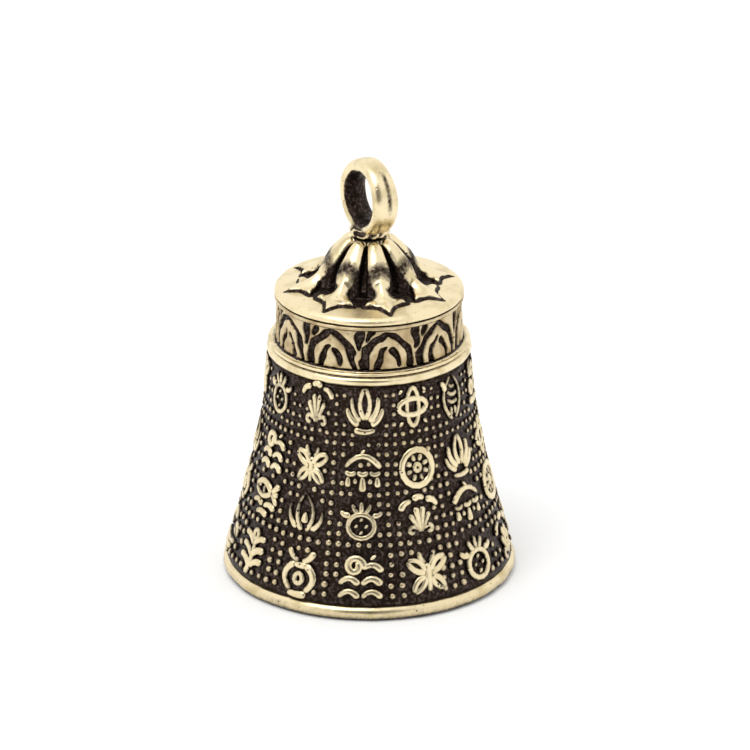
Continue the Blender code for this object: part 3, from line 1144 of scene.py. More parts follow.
@dataclass
class Skirt:
    """The flared skirt: a dark ground that carries rows of beads and raised ornaments."""

    form: BellForm
    columns: int = 13
    centre: float = math.radians(-33.0)
    mark_width: float = 0.345
    row_spans: tuple[tuple[float, float], ...] = (
        (13.9 * MM, 17.35 * MM),
        (9.45 * MM, 12.6 * MM),
        (5.95 * MM, 8.9 * MM),
        (1.5 * MM, 4.9 * MM),
    )
    flat_radius: float = 8.8 * MM
    mark_shift: float = 0.12 * MM
    brush: float = 0.29 * MM
    brush_spread: float = 0.12
    stroke_height: float = 0.3 * MM
    stroke_sides: int = 12
    stroke_round: float = 0.5
    thin_sinks: float = 0.6
    stroke_under: float = 0.2
    ground_depth: float = 0.03 * MM
    ground_waves: float = 1.8 * MM
    ground_rows: int = 60
    ground_steps: int = 300
    inner_relief: float = 0.35
    bead_columns: int = 78
    bead_pitch: float = 0.74 * MM
    bead_clearance: float = 0.45 * MM
    bead_shift: float = 0.05 * MM
    bead_radii: tuple[float, float] = (0.19 * MM, 0.3 * MM)
    bead_spread: tuple[float, float] = (0.85, 1.12)
    bead_rise: float = 0.85
    bead_round: float = 0.7
    bead_under: float = 0.3
    seed: int = 7

    def ground(self) -> Piece:
        """Returns the skirt's wall and neck, without what stands on it.

        Returns:
            The piece, at rest and at the origin.
        """
        form = self.form
        heights = np.linspace(form.shoulder_z, form.foot_z, self.ground_rows)
        outer = form.flare(heights) - self.ground_depth
        inner = form.flare(heights) - form.wall
        outline = [(form.neck_radius, form.neck_top), (form.neck_radius, form.shoulder_z)]
        outline += list(zip(outer, heights)) + list(zip(inner[::-1], heights[::-1]))
        outline += [(inner[0], form.neck_top)]
        relief = [0.0] * (len(outer) + 2) + [self.inner_relief] * (len(inner) + 1)
        wander = uneven(self.ground_depth, self.ground_waves, self.seed)
        return turned("skirt_ground", outline, self.ground_steps, relief, wander)

    def flat_marks(self) -> Piece:
        """Returns the ornaments' strokes as polylines on the unrolled skirt: X along the girth, Y up.

        Returns:
            A mesh of edges that carry the strokes' half-widths.
        """
        rng = np.random.default_rng(self.seed)
        mesh = bpy.data.meshes.new("flat_marks")
        points, widths, edges = [], [], []
        half_width = self.mark_width * self.flat_radius / 2
        for column in range(self.columns):
            middle = (self.centre + column * math.tau / self.columns) % math.tau * self.flat_radius
            for row, (low, high) in enumerate(self.row_spans):
                chosen = ORNAMENTS[(4 * column + 7 * row) % len(ORNAMENTS)]
                turn_over = rng.random() < 0.5
                shift = rng.uniform(-1, 1, 2) * self.mark_shift
                for stroke in chosen():
                    stroke = stroke.mirrored() if turn_over else stroke
                    first = len(points)
                    size = np.array([half_width, (high - low) / 2])
                    places = stroke.points * size + shift + np.array([middle, (low + high) / 2])
                    points += [(x, y, 0.0) for x, y in places]
                    wide = self.brush * rng.uniform(1 - self.brush_spread, 1 + self.brush_spread)
                    widths += list(stroke.widths * wide)
                    edges += [(first + i, first + i + 1) for i in range(len(places) - 1)]
        mesh.from_pydata(points, edges, [])
        mesh.attributes.new(HALF_WIDTH, "FLOAT", "POINT").data.foreach_set("value", widths)
        obj = bpy.data.objects.new("flat_marks", mesh)
        bpy.context.scene.collection.objects.link(obj)
        return obj

    def wrap_sizes(self, group: NodeGroup) -> dict[str, Socket]:
        """Adds the inputs that say how the flat marks wrap round the skirt.

        Args:
            group: The tree.

        Returns:
            The inputs' sockets by short names.
        """
        form = self.form
        return {
            "flat": group.size("Flat Radius", self.flat_radius),
            "shoulder": group.size("Shoulder Height", form.shoulder_z),
            "fall": group.size("Skirt Height", form.shoulder_z - form.foot_z),
            "waist": group.size("Waist Radius", form.waist_radius - self.ground_depth),
            "spread": group.size("Flare", form.foot_radius - form.waist_radius),
            "power": group.size("Flare Power", form.flare_power),
        }

    @staticmethod
    def wrapped(
        group: NodeGroup, sizes: dict[str, Socket], x: object, y: object, lift: object
    ) -> tuple[Socket, Socket]:
        """Adds the nodes that wrap flat places round the skirt.

        Args:
            group: The tree.
            sizes: Sockets from wrap_sizes.
            x: Way along the girth at the flat radius.
            y: Height.
            lift: How far the place stands off the ground.

        Returns:
            The wrapped place, and the outward direction there.
        """
        maths = group.maths
        fallen = maths("DIVIDE", maths("SUBTRACT", sizes["shoulder"], y), sizes["fall"])
        fallen = maths("MAXIMUM", fallen, 0.0)
        radius = maths("MULTIPLY", maths("POWER", fallen, sizes["power"]), sizes["spread"])
        radius = maths("ADD", maths("ADD", radius, sizes["waist"]), lift)
        steep = maths("POWER", fallen, maths("SUBTRACT", sizes["power"], 1.0))
        slope = maths("DIVIDE", maths("MULTIPLY", sizes["spread"], sizes["power"]), sizes["fall"])
        angle = maths("DIVIDE", x, sizes["flat"])
        cosine, sine = maths("COSINE", angle), maths("SINE", angle)
        place = group.vector(maths("MULTIPLY", radius, cosine), maths("MULTIPLY", radius, sine), y)
        return place, group.vector(cosine, sine, maths("MULTIPLY", slope, steep))

    def stroke_group(self) -> NodeGroup:
        """Returns the tree that turns flat polylines into raised strokes round the skirt.

        Returns:
            The tree.
        """
        group = NodeGroup("Raised Strokes")
        sizes = self.wrap_sizes(group)
        height = group.size("Stroke Height", self.stroke_height)
        brush = group.size("Brush", self.brush)
        material = group.thing("Material", "NodeSocketMaterial")
        width = group.carried(HALF_WIDTH, "FLOAT")
        curve = group.node("GeometryNodeMeshToCurve")
        group.feed(curve.inputs[0], group.enter.outputs["Geometry"])
        upright = group.node("GeometryNodeSetCurveNormal", mode="Z_UP")
        group.feed(upright.inputs["Curve"], curve.outputs[0])
        sized = group.node("GeometryNodeSetCurveRadius")
        group.feed(sized.inputs["Curve"], upright.outputs[0])
        group.feed(sized.inputs["Radius"], width)
        circle = group.node("GeometryNodeCurvePrimitiveCircle")
        group.feed(circle.inputs["Resolution"], self.stroke_sides)
        group.feed(circle.inputs["Radius"], 1.0)
        tube = group.node("GeometryNodeCurveToMesh")
        group.feed(tube.inputs["Curve"], sized.outputs[0])
        group.feed(tube.inputs["Profile Curve"], circle.outputs["Curve"])
        group.feed(tube.inputs["Scale"], width)

        x, y, z = group.place()
        share = group.maths("DIVIDE", z, width)
        top = group.maths("POWER", group.maths("MAXIMUM", share, 0.0), self.stroke_round)
        fullness = group.maths("MINIMUM", group.maths("DIVIDE", width, brush), 1.0)
        top = group.maths("MULTIPLY", top, group.maths("POWER", fullness, self.thin_sinks))
        under = group.maths("MULTIPLY", group.maths("MINIMUM", share, 0.0), self.stroke_under)
        lift = group.maths("MULTIPLY", group.maths("ADD", top, under), height)
        place, _ = self.wrapped(group, sizes, x, y, lift)
        group.finish(group.moved(group.stored(tube.outputs[0], RELIEF, "FLOAT", top), place), material)
        return group

    def bead_group(self) -> NodeGroup:
        """Returns the tree that sets rows of beads on the ground that the marks leave free.

        Returns:
            The tree.
        """
        group = NodeGroup("Bead Rows")
        sizes = self.wrap_sizes(group)
        clearance = group.size("Clearance", self.bead_clearance)
        columns = group.size("Columns", float(self.bead_columns))
        pitch = group.size("Pitch", self.bead_pitch)
        marks = group.thing("Marks", "NodeSocketObject")
        material = group.thing("Material", "NodeSocketMaterial")
        maths = group.maths

        girth = maths("MULTIPLY", sizes["flat"], math.tau)
        rows = maths("FLOOR", maths("DIVIDE", sizes["fall"], pitch))
        grid = group.node("GeometryNodeMeshGrid")
        across = maths("MULTIPLY", girth, maths("SUBTRACT", 1.0, maths("DIVIDE", 1.0, columns)))
        group.feed(grid.inputs["Size X"], across)
        group.feed(grid.inputs["Size Y"], maths("MULTIPLY", pitch, maths("SUBTRACT", rows, 1.0)))
        group.feed(grid.inputs["Vertices X"], columns)
        group.feed(grid.inputs["Vertices Y"], rows)
        x, y, _ = group.place()
        middle = maths("SUBTRACT", sizes["shoulder"], maths("MULTIPLY", sizes["fall"], 0.5))
        wobble = group.node("FunctionNodeRandomValue", data_type="FLOAT_VECTOR")
        wobble.inputs["Min"].default_value = (-self.bead_shift, -self.bead_shift, 0.0)
        wobble.inputs["Max"].default_value = (self.bead_shift, self.bead_shift, 0.0)
        wobble.inputs["Seed"].default_value = self.seed
        wobble_x, wobble_y, _ = group.split(wobble.outputs[0])
        x = maths("ADD", maths("ADD", x, maths("MULTIPLY", girth, 0.5)), wobble_x)
        y = maths("ADD", maths("ADD", y, middle), wobble_y)
        spread = group.moved(grid.outputs["Mesh"], group.vector(x, y, 0.0))

        lines = group.node("GeometryNodeObjectInfo")
        group.feed(lines.inputs["Object"], marks)
        near = group.node("GeometryNodeProximity", target_element="EDGES")
        group.feed(near.inputs[0], lines.outputs["Geometry"])
        cleared = group.node("GeometryNodeDeleteGeometry", domain="POINT")
        group.feed(cleared.inputs["Geometry"], spread)
        group.feed(cleared.inputs["Selection"], maths("LESS_THAN", near.outputs["Distance"], clearance))
        dots = group.node("GeometryNodeMeshToPoints")
        group.feed(dots.inputs["Mesh"], cleared.outputs[0])
        flat_x, flat_y, _ = group.place()
        place, outward = self.wrapped(group, sizes, flat_x, flat_y, 0.0)
        facing = group.stored(dots.outputs[0], OUTWARD, "FLOAT_VECTOR", outward)

        turn = group.node("FunctionNodeAlignRotationToVector", axis="Z")
        group.feed(turn.inputs["Vector"], group.carried(OUTWARD, "FLOAT_VECTOR"))
        placed = group.node("GeometryNodeInstanceOnPoints")
        group.feed(placed.inputs["Points"], group.moved(facing, place))
        group.feed(placed.inputs["Instance"], self.bead(group))
        group.feed(placed.inputs["Rotation"], turn.outputs[0])
        group.feed(placed.inputs["Scale"], self.bead_size(group, sizes["shoulder"]))
        group.finish(placed.outputs[0], material)
        return group

    def bead(self, group: NodeGroup) -> Socket:
        """Adds a domed bead of radius 1, with its relief on it.

        Args:
            group: The tree.

        Returns:
            The bead's geometry.
        """
        ball = group.node("GeometryNodeMeshIcoSphere")
        ball.inputs["Radius"].default_value = 1.0
        ball.inputs["Subdivisions"].default_value = 2
        x, y, z = group.place()
        crowned = group.maths("POWER", group.maths("MAXIMUM", z, 0.0), self.bead_round)
        under = group.maths("MULTIPLY", group.maths("MINIMUM", z, 0.0), self.bead_under)
        shown = group.stored(ball.outputs["Mesh"], RELIEF, "FLOAT", crowned)
        return group.moved(shown, group.vector(x, y, group.maths("ADD", crowned, under)))

    def bead_size(self, group: NodeGroup, shoulder: Socket) -> Socket:
        """Adds the sizes of the beads, which grow towards the foot.

        Args:
            group: The tree.
            shoulder: The height where they are smallest.

        Returns:
            The scale of each bead.
        """
        _, _, height = group.place()
        radius = group.mapped("LINEAR", height, (shoulder, self.form.foot_z), self.bead_radii)
        spread = group.node("FunctionNodeRandomValue", data_type="FLOAT")
        for socket, value in zip(spread.inputs[2:4], self.bead_spread):
            socket.default_value = value
        spread.inputs["Seed"].default_value = self.seed + 1
        across = group.maths("MULTIPLY", radius, spread.outputs[1])
        return group.vector(across, across, group.maths("MULTIPLY", across, self.bead_rise))

    def dress(self, dresser: Dresser) -> None:
        """Builds and dresses the ground, the strokes and the beads.

        Args:
            dresser: Makes the finishes and hands pieces to the frame.
        """
        dresser.dress(self.ground(), Finish.SKIRT_GROUND, "patina_skirt", "bell", "bell_skirt")
        marks = self.flat_marks()
        start = new_object("bead_start", np.zeros((3, 3)), [(0, 1, 2)])
        painted = {"Material": dresser.material(Finish.MARKS), "Marks": marks}
        beads = grown("skirt_beads", start, self.bead_group(), painted)
        strokes = grown("skirt_marks", marks, self.stroke_group(), painted)
        tidy_mesh(strokes)
        dresser.dress(beads, Finish.BEADS, "patina_skirt", "bell", "bell_skirt")
        dresser.dress(strokes, Finish.MARKS, "patina_skirt", "bell", "bell_skirt")


@dataclass
class WaistRing:
    """The polished moulding at the waist: a full bead under a groove and a thin upper bead."""

    form: BellForm
    groove: float = 0.22 * MM
    upper_bead: float = 0.12 * MM
    gap: float = 0.1 * MM
    top_ledge: float = 0.4 * MM
    wander: float = 0.018 * MM
    wander_length: float = 1.5 * MM
    wander_room: float = 0.02 * MM
    steps: int = 360

    def mesh(self) -> Piece:
        """Returns the ring.

        Returns:
            The piece, at rest and at the origin.
        """
        form = self.form
        outer = form.waist_radius + RING_STANDS_OUT - self.wander_room
        bead = (form.neck_top - form.ring_z - 2 * self.upper_bead - self.gap) / 2
        valley = outer - self.groove
        bore = form.neck_radius + SEAT
        top = form.neck_top
        outline = [(bore, top), (valley - self.top_ledge, top - 0.03 * MM)]
        outline += arc((valley, top - self.upper_bead), self.upper_bead, 100, -60, 7)
        outline += [(valley - 0.05 * MM, top - 2.1 * self.upper_bead)]
        outline += arc((outer - bead, form.ring_z + bead), bead, 75, -85, 12)
        outline += [(bore, form.ring_z)]
        upper = [0.9] + [1.0] * 5 + [0.5]
        main = [0.5] + [1.0] * 10 + [0.5]
        relief = [0.0, 0.6] + upper + [0.0] + main + [0.0]
        wander = uneven(self.wander, self.wander_length, 11)
        return turned("waist_moulding", outline, self.steps, relief, wander)

    def dress(self, dresser: Dresser) -> None:
        """Builds and dresses the ring."""
        dresser.dress(self.mesh(), Finish.RING, "polished_ring", "bell", "waist_ring")


@dataclass
class Drum:
    """The drum: rubbed petals between dark channels, under a bead."""

    form: BellForm
    bore: float = 5.52 * MM
    plate_height: float = 0.3 * MM
    channel_width: float = 0.15 * MM
    bead: float = 0.15 * MM
    spigot_wall: float = 0.5 * MM
    spigot_depth: float = 0.8 * MM
    units: int = 10
    top_width: float = 0.25 * MM
    lean: float = 0.07 * MM
    waver: float = 0.13 * MM
    waver_length: float = 1.6 * MM
    roughness: float = 0.02 * MM
    roughness_length: float = 0.7 * MM
    carved_wall: float = 0.9 * MM
    rows: int = 52
    steps: int = 720

    def channels(self) -> list[Stroke]:
        """Returns one unit's channels, in a square from -1 to 1: a petal with its veins, and a drop.

        Returns:
            The channels' strokes.
        """
        return [
            bow(-0.8, -1.05, 0.02, 0.84, 0.36, 2.1, 1.2),
            bow(0.76, -1.05, 0.0, 0.8, -0.3, 1.3, 1.6),
            bow(-0.36, -1.0, -0.08, 0.16, 0.1, 1.7, 0.8),
            bow(0.34, -0.95, 0.06, 0.02, -0.14, 1.1, 1.3),
            bow(1.0, 0.95, 0.96, -0.1, 0.04, 2.6, 0.8),
            bow(-1.0, 0.95, -1.04, -0.1, 0.04, 2.6, 0.8),
            bow(-0.52, 0.95, -0.72, 0.46, -0.04, 1.6, 0.7),
        ]

    def carve(self, points: np.ndarray) -> Carving:
        """Raises the plates and sinks the channels between them.

        Args:
            points: Vertex places.

        Returns:
            How far each moves outwards, and its share of the relief.
        """
        form = self.form
        angle = np.arctan2(points[:, 1], points[:, 0])
        share = (angle / math.tau * self.units) % 1.0
        low, high = form.drum_z + 0.02 * MM, form.drum_top - 2 * self.bead
        unit_width = math.tau * form.drum_radius / self.units
        place = np.stack([(share * 2 - 1) * unit_width / 2, points[:, 2] - (low + high) / 2], axis=-1)
        wavers = [ripple(points, self.waver_length, seed) for seed in (21, 22)]
        place = place + self.waver * np.stack(wavers, axis=-1)
        depth = np.full(len(points), FAR)
        half = np.array([unit_width / 2, (high - low) / 2])
        for stroke in self.channels():
            for neighbour in (-1, 0, 1):
                moved = stroke.points * half + np.array([neighbour * unit_width, 0.0])
                depth = np.minimum(depth, self.way_to(place, moved, stroke.widths * self.channel_width))
        outside = radius_of(points) > form.drum_radius - self.carved_wall
        in_band = smooth_step(points[:, 2], low - 0.04 * MM, low + 0.03 * MM)
        in_band = in_band * (1 - smooth_step(points[:, 2], high - 0.05 * MM, high + 0.02 * MM))
        plate = smooth_step(depth, -0.06 * MM, 0.12 * MM) * in_band
        bead = smooth_step(points[:, 2], high + 0.02 * MM, high + 0.06 * MM)
        rough = ripple(points, self.roughness_length, 23) * self.roughness
        push = np.where(outside, plate * self.plate_height + rough, 0)
        return push, np.where(outside, np.maximum(plate, bead), 1)

    @staticmethod
    def way_to(places: np.ndarray, path: np.ndarray, widths: np.ndarray) -> np.ndarray:
        """Returns how far places are from the edge of a line with changing width.

        Args:
            places: N by 2 places.
            path: The line's points.
            widths: Its half-width at each of them.

        Returns:
            The distances, below 0 inside the line.
        """
        nearest = np.full(len(places), FAR)
        for start, end, first, last in zip(path, path[1:], widths, widths[1:]):
            way = end - start
            along = np.clip((places - start) @ way / (way @ way), 0, 1)
            off = np.linalg.norm(places - start - along[:, None] * way, axis=1)
            nearest = np.minimum(nearest, off - (first + (last - first) * along))
        return nearest

    def mesh(self) -> Piece:
        """Returns the drum with its carved outer wall.

        Returns:
            The piece, at rest and at the origin.
        """
        form = self.form
        ground = form.drum_radius - self.bead - self.plate_height
        top_bead = form.drum_top - self.bead
        heights = np.linspace(top_bead - self.bead, form.drum_z, self.rows)
        lean = self.lean * (top_bead - heights) / (top_bead - form.drum_z)
        outline = [(self.bore, form.drum_top), (form.drum_radius - self.top_width, form.drum_top)]
        outline += arc((form.drum_radius - self.bead, top_bead), self.bead - 0.01 * MM, 75, -60, 9)
        outline += list(zip(ground + lean, heights))
        spigot = self.bore + self.spigot_wall
        foot = form.drum_z - self.spigot_depth
        outline += [(spigot, form.drum_z), (spigot, foot), (self.bore, foot)]
        relief = [0.2, 0.2] + [1.0] * (9 + self.rows) + [0.2] * 3
        return turned("drum_scrollwork", outline, self.steps, relief, self.carve)

    def dress(self, dresser: Dresser) -> None:
        """Builds and dresses the drum."""
        dresser.dress(self.mesh(), Finish.DRUM, "worn_drum", "bell", "shoulder_drum")


@dataclass(frozen=True)
class CrownShape:
    """The lotus crown's form: straps that swell to a knuckle and end in three-pointed feet."""

    form: BellForm
    tines: int = 8
    turn: float = math.radians(29.0)
    knuckle: float = 3.2 * MM
    foot_start: float = 3.75 * MM
    strap_depth: float = 1.2
    foot_thickness: float = 0.17 * MM
    foot_edge: float = 0.16 * MM
    lobe_height: float = 0.17 * MM
    head_radius: float = 1.3 * MM
    core_radius: float = 2.9 * MM
    core_height: float = 2.6 * MM
    floor_radius: float = 3.9 * MM
    step: float = 0.03 * MM
    roughness: float = 0.014 * MM
    roughness_length: float = 0.7 * MM
    # brown: how far the relief is cut at the knuckle, a painted dark reflection under the knuckle in the
    # patina's colour.
    brown: float = 0.62
    chased_depth: float = 0.08 * MM

    @property
    def ridge_line(self) -> tuple[np.ndarray, np.ndarray]:
        """Ways along a tine, and how far its ridge is over the head there."""
        places = [
            (0.0, 0.0),
            (1.5, 0.0),
            (1.8, -0.1),
            (2.1, -0.33),
            (2.5, -0.75),
            (2.9, -1.16),
            (3.2, -1.52),
            (3.4, -1.84),
            (3.55, -2.12),
            (3.75, -2.34),
            (4.0, -2.62),
            (4.3, -2.88),
            (4.7, -3.13),
            (5.1, -3.32),
            (5.6, -3.5),
            (6.1, -3.68),
            (6.6, -3.8),
        ]
        return tuple(np.array(column) * MM for column in zip(*places))

    @property
    def strap_widths(self) -> tuple[np.ndarray, np.ndarray]:
        """Ways along a tine, and the strap's half-width there."""
        places = [(0.0, 0.5), (1.4, 0.52), (1.8, 0.62), (2.3, 0.76), (2.8, 0.92), (3.2, 0.98)]
        places += [(3.5, 0.86), (3.8, 0.66)]
        return tuple(np.array(column) * MM for column in zip(*places))

    @property
    def spine_widths(self) -> tuple[np.ndarray, np.ndarray]:
        """Ways along a tine, and the width of the foot's ridge there."""
        places = [(3.4, 0.62), (3.9, 0.52), (4.3, 0.56), (4.7, 0.62), (5.2, 0.5), (6.4, 0.32)]
        return tuple(np.array(column) * MM for column in zip(*places))

    def local(self, points: np.ndarray) -> tuple[np.ndarray, np.ndarray]:
        """Returns each place's way along its nearest tine and its way aside from the tine's middle.

        Args:
            points: Places in metres.

        Returns:
            The ways along and aside.
        """
        step = math.tau / self.tines
        angle = np.arctan2(points[:, 1], points[:, 0]) - self.turn
        angle = (angle + step / 2) % step - step / 2
        radius = radius_of(points)
        return radius * np.cos(angle), radius * np.sin(angle)

    def inside_foot(self, along: np.ndarray, aside: np.ndarray) -> np.ndarray:
        """Returns how far places are inside a foot's outline, below 0 outside it.

        Args:
            along: Ways along the nearest tine.
            aside: Ways from its middle.

        Returns:
            The distances to the outline.
        """
        half = np.array(
            [
                (3.3, 0.0),
                (3.6, 0.6),
                (4.0, 0.72),
                (4.3, 0.98),
                (4.62, 1.4),
                (4.95, 1.7),
                (5.12, 1.35),
                (5.2, 0.98),
                (5.42, 0.58),
                (5.85, 0.3),
                (6.43, 0.0),
            ]
        )
        corners = np.concatenate([half, (half * np.array([1, -1]))[-2:0:-1]]) * MM
        nearest = np.full(len(along), FAR)
        inside = np.zeros(len(along), dtype=bool)
        for (ax, ay), (bx, by) in zip(corners, np.roll(corners, -1, axis=0)):
            way_x, way_y = bx - ax, by - ay
            share = np.clip(((along - ax) * way_x + (aside - ay) * way_y) / (way_x**2 + way_y**2), 0, 1)
            nearest = np.minimum(nearest, np.hypot(along - ax - share * way_x, aside - ay - share * way_y))
            crosses = (ay > aside) != (by > aside)
            slope = way_x / way_y if way_y else 0.0
            inside ^= crosses & (along < ax + (aside - ay) * slope)
        return np.where(inside, nearest, -nearest)

    def strap(self, along: np.ndarray, aside: np.ndarray, ridge: np.ndarray) -> tuple[np.ndarray, np.ndarray]:
        """Returns the straps' heights and their relief: rubbed on the ridge, with a painted dark reflection
        cut into it at the knuckle.

        Args:
            along: Each place's way along its tine.
            aside: Its way from the tine's middle.
            ridge: Height of the tine's ridge there.

        Returns:
            The heights, far below the crown beside the straps, and the relief.
        """
        width = np.interp(along, *self.strap_widths)
        off = np.abs(aside) / width
        round_share = np.sqrt(np.clip(1 - off**2, 0, 1))
        height = ridge - width * self.strap_depth * (1 - round_share)
        # Painted dark reflection: the relief is cut round the knuckle so the patina's colour shows there.
        brown = self.brown * bump_at(along, self.knuckle, 0.5 * MM)
        relief = smooth_step(round_share, 0.22, 0.66) * (1 - brown)
        return np.where((off < 1) & (along < self.foot_start), height, -FAR), relief

    def foot(self, along: np.ndarray, aside: np.ndarray, proud: np.ndarray) -> tuple[np.ndarray, np.ndarray]:
        """Returns how far the feet stand off the cap and their relief: rubbed, with painted shade beside the
        spine where the foot runs under the knuckle.

        Args:
            along: Each place's way along its tine.
            aside: Its way from the tine's middle.
            proud: How far the tine's ridge stands over a flat foot there.

        Returns:
            The heights over the cap, far below it beside the feet, and the relief.
        """
        inside = self.inside_foot(along, aside)
        edge = smooth_step(inside, 0.0, self.foot_edge)
        spine = proud * np.exp(-((aside / np.interp(along, *self.spine_widths)) ** 2))
        lobes = self.lobe_height * bump_at(np.abs(aside), 1.2 * MM, 0.3 * MM)
        lobes = lobes * bump_at(along, 4.85 * MM, 0.4 * MM)
        height = edge * (self.foot_thickness + spine + lobes)
        # Painted shade: beside the spine, where the foot runs under the knuckle, the relief is cut to the
        # patina's colour.
        side = smooth_step(np.abs(aside), 0.3 * MM, 0.62 * MM) * smooth_step(-along, -4.7 * MM, -3.9 * MM)
        relief = smooth_step(inside, 0.03 * MM, 0.15 * MM) * (1 - 0.75 * side)
        return np.where(inside > 0, height, -FAR), relief

    def surface(self, points: np.ndarray) -> tuple[np.ndarray, np.ndarray]:
        """Returns the crown's height over the mouth plane and its relief at places given by x and y.

        Args:
            points: Places in metres, of which Z is unused.

        Returns:
            The heights and the relief.
        """
        along, aside = self.local(points)
        radius = radius_of(points)
        floor = self.form.dome(radius)
        head = self.form.head_top - 0.05 * MM
        ridge = head + np.interp(along, *self.ridge_line)
        strap, strap_relief = self.strap(along, aside, ridge)
        proud = np.maximum(ridge - floor - self.foot_thickness, 0)
        foot, foot_relief = self.foot(along, aside, proud)
        foot = floor + foot

        fall = np.clip((self.core_radius - radius) / (self.core_radius - self.head_radius), 0, 1)
        core = floor + self.step + self.core_height * fall**1.2
        core = np.where(radius < self.floor_radius, core, floor - 0.07 * MM)
        height = np.maximum(np.maximum(strap, foot), core)
        height = np.where(radius < self.head_radius, head, height)
        height += self.roughness * ripple(points * np.array([1, 1, 0]), self.roughness_length, 31)

        relief = np.where(strap >= height - self.step, strap_relief, 0.0)
        on_foot = (foot >= height - self.step) & (along > self.foot_start - 0.35 * MM)
        relief = np.where(on_foot, np.maximum(foot_relief, relief), relief)
        return height, relief

    def recess(self, points: np.ndarray) -> tuple[np.ndarray, np.ndarray]:
        """Returns how deep the cap is chased round the feet, and how clean its surface is there.

        Args:
            points: Places on the cap.

        Returns:
            The depths, and 0 in the dark line to 1 on clean metal.
        """
        along, aside = self.local(points)
        outside = -self.inside_foot(along, aside)
        line = smooth_step(outside, 0.06 * MM, 0.2 * MM)
        between = smooth_step(radius_of(points), 4.95 * MM, 5.5 * MM)
        return self.chased_depth * (1 - line), line * between


@dataclass
class Cap:
    """The domed cap, chased with a dark line round the crown's feet."""

    form: BellForm
    crown: CrownShape
    edge_width: float = 0.5 * MM
    edge_low: float = 0.16 * MM
    edge_points: int = 14
    shank_bore: float = 0.95 * MM
    spigot_radius: float = 5.44 * MM
    spigot_wall: float = 0.5 * MM
    spigot_depth: float = 0.8 * MM
    boss_radius: float = 2.6 * MM
    boss_depth: float = 0.5 * MM
    wander: float = 0.018 * MM
    wander_length: float = 1.9 * MM
    wander_room: float = 0.02 * MM
    rings: int = 90
    steps: int = 512

    def mesh(self) -> Piece:
        """Returns the cap.

        Returns:
            The piece, at rest and at the origin.
        """
        form = self.form
        outer = form.cap_radius - self.wander_room
        radii = np.linspace(self.shank_bore, outer - self.edge_width, self.rings)
        outline = list(zip(radii, form.dome(radii)))
        low = form.cap_z + self.edge_low
        rise = outline[-1][1] - low
        for turn in np.radians(np.linspace(78, 0, self.edge_points)):
            outline.append((outer - self.edge_width * (1 - math.cos(turn)), low + rise * math.sin(turn)))
        outline += arc((outer - self.edge_low, low), self.edge_low, -20, -90, 5)
        under = form.cap_z - self.spigot_depth
        boss = form.cap_z - self.boss_depth
        inner = self.spigot_radius - self.spigot_wall
        outline += [(self.spigot_radius, form.cap_z), (self.spigot_radius, under)]
        outline += [(inner, under), (inner, form.cap_z)]
        outline += [(self.boss_radius, form.cap_z), (self.boss_radius, boss), (self.shank_bore, boss)]
        # The relief falls round the underside of the rounded edge: painted shade in the crease under the
        # cap's edge.
        relief = [1.0] * (self.rings + self.edge_points) + [0.9, 0.7, 0.4, 0.2, 0.2] + [0.2] * 7
        obj = turned("cap_dome", outline, self.steps, relief, uneven(self.wander, self.wander_length, 41))
        self.chase(obj)
        return obj

    def chase(self, obj: Piece) -> None:
        """Sinks the line round the crown's feet into the dome, and darkens it.

        Args:
            obj: The turned cap.
        """
        mesh = obj.data
        points = np.empty(len(mesh.vertices) * 3)
        mesh.vertices.foreach_get("co", points)
        points = points.reshape(-1, 3)
        levels = np.empty(len(mesh.vertices), np.float32)
        layer = mesh.attributes[RELIEF].data
        layer.foreach_get("value", levels)
        on_top = points[:, 2] > self.form.cap_z + self.form.cap_edge * 0.9
        depth, clean = self.crown.recess(points)
        points[:, 2] -= np.where(on_top, depth, 0)
        mesh.vertices.foreach_set("co", points.reshape(-1))
        layer.foreach_set("value", np.where(on_top, levels * clean, levels).astype(np.float32))
        mesh.update()

    def dress(self, dresser: Dresser) -> None:
        """Builds and dresses the cap."""
        dresser.dress(self.mesh(), Finish.CAP, "polished_cap", "bell", "shoulder_cap")


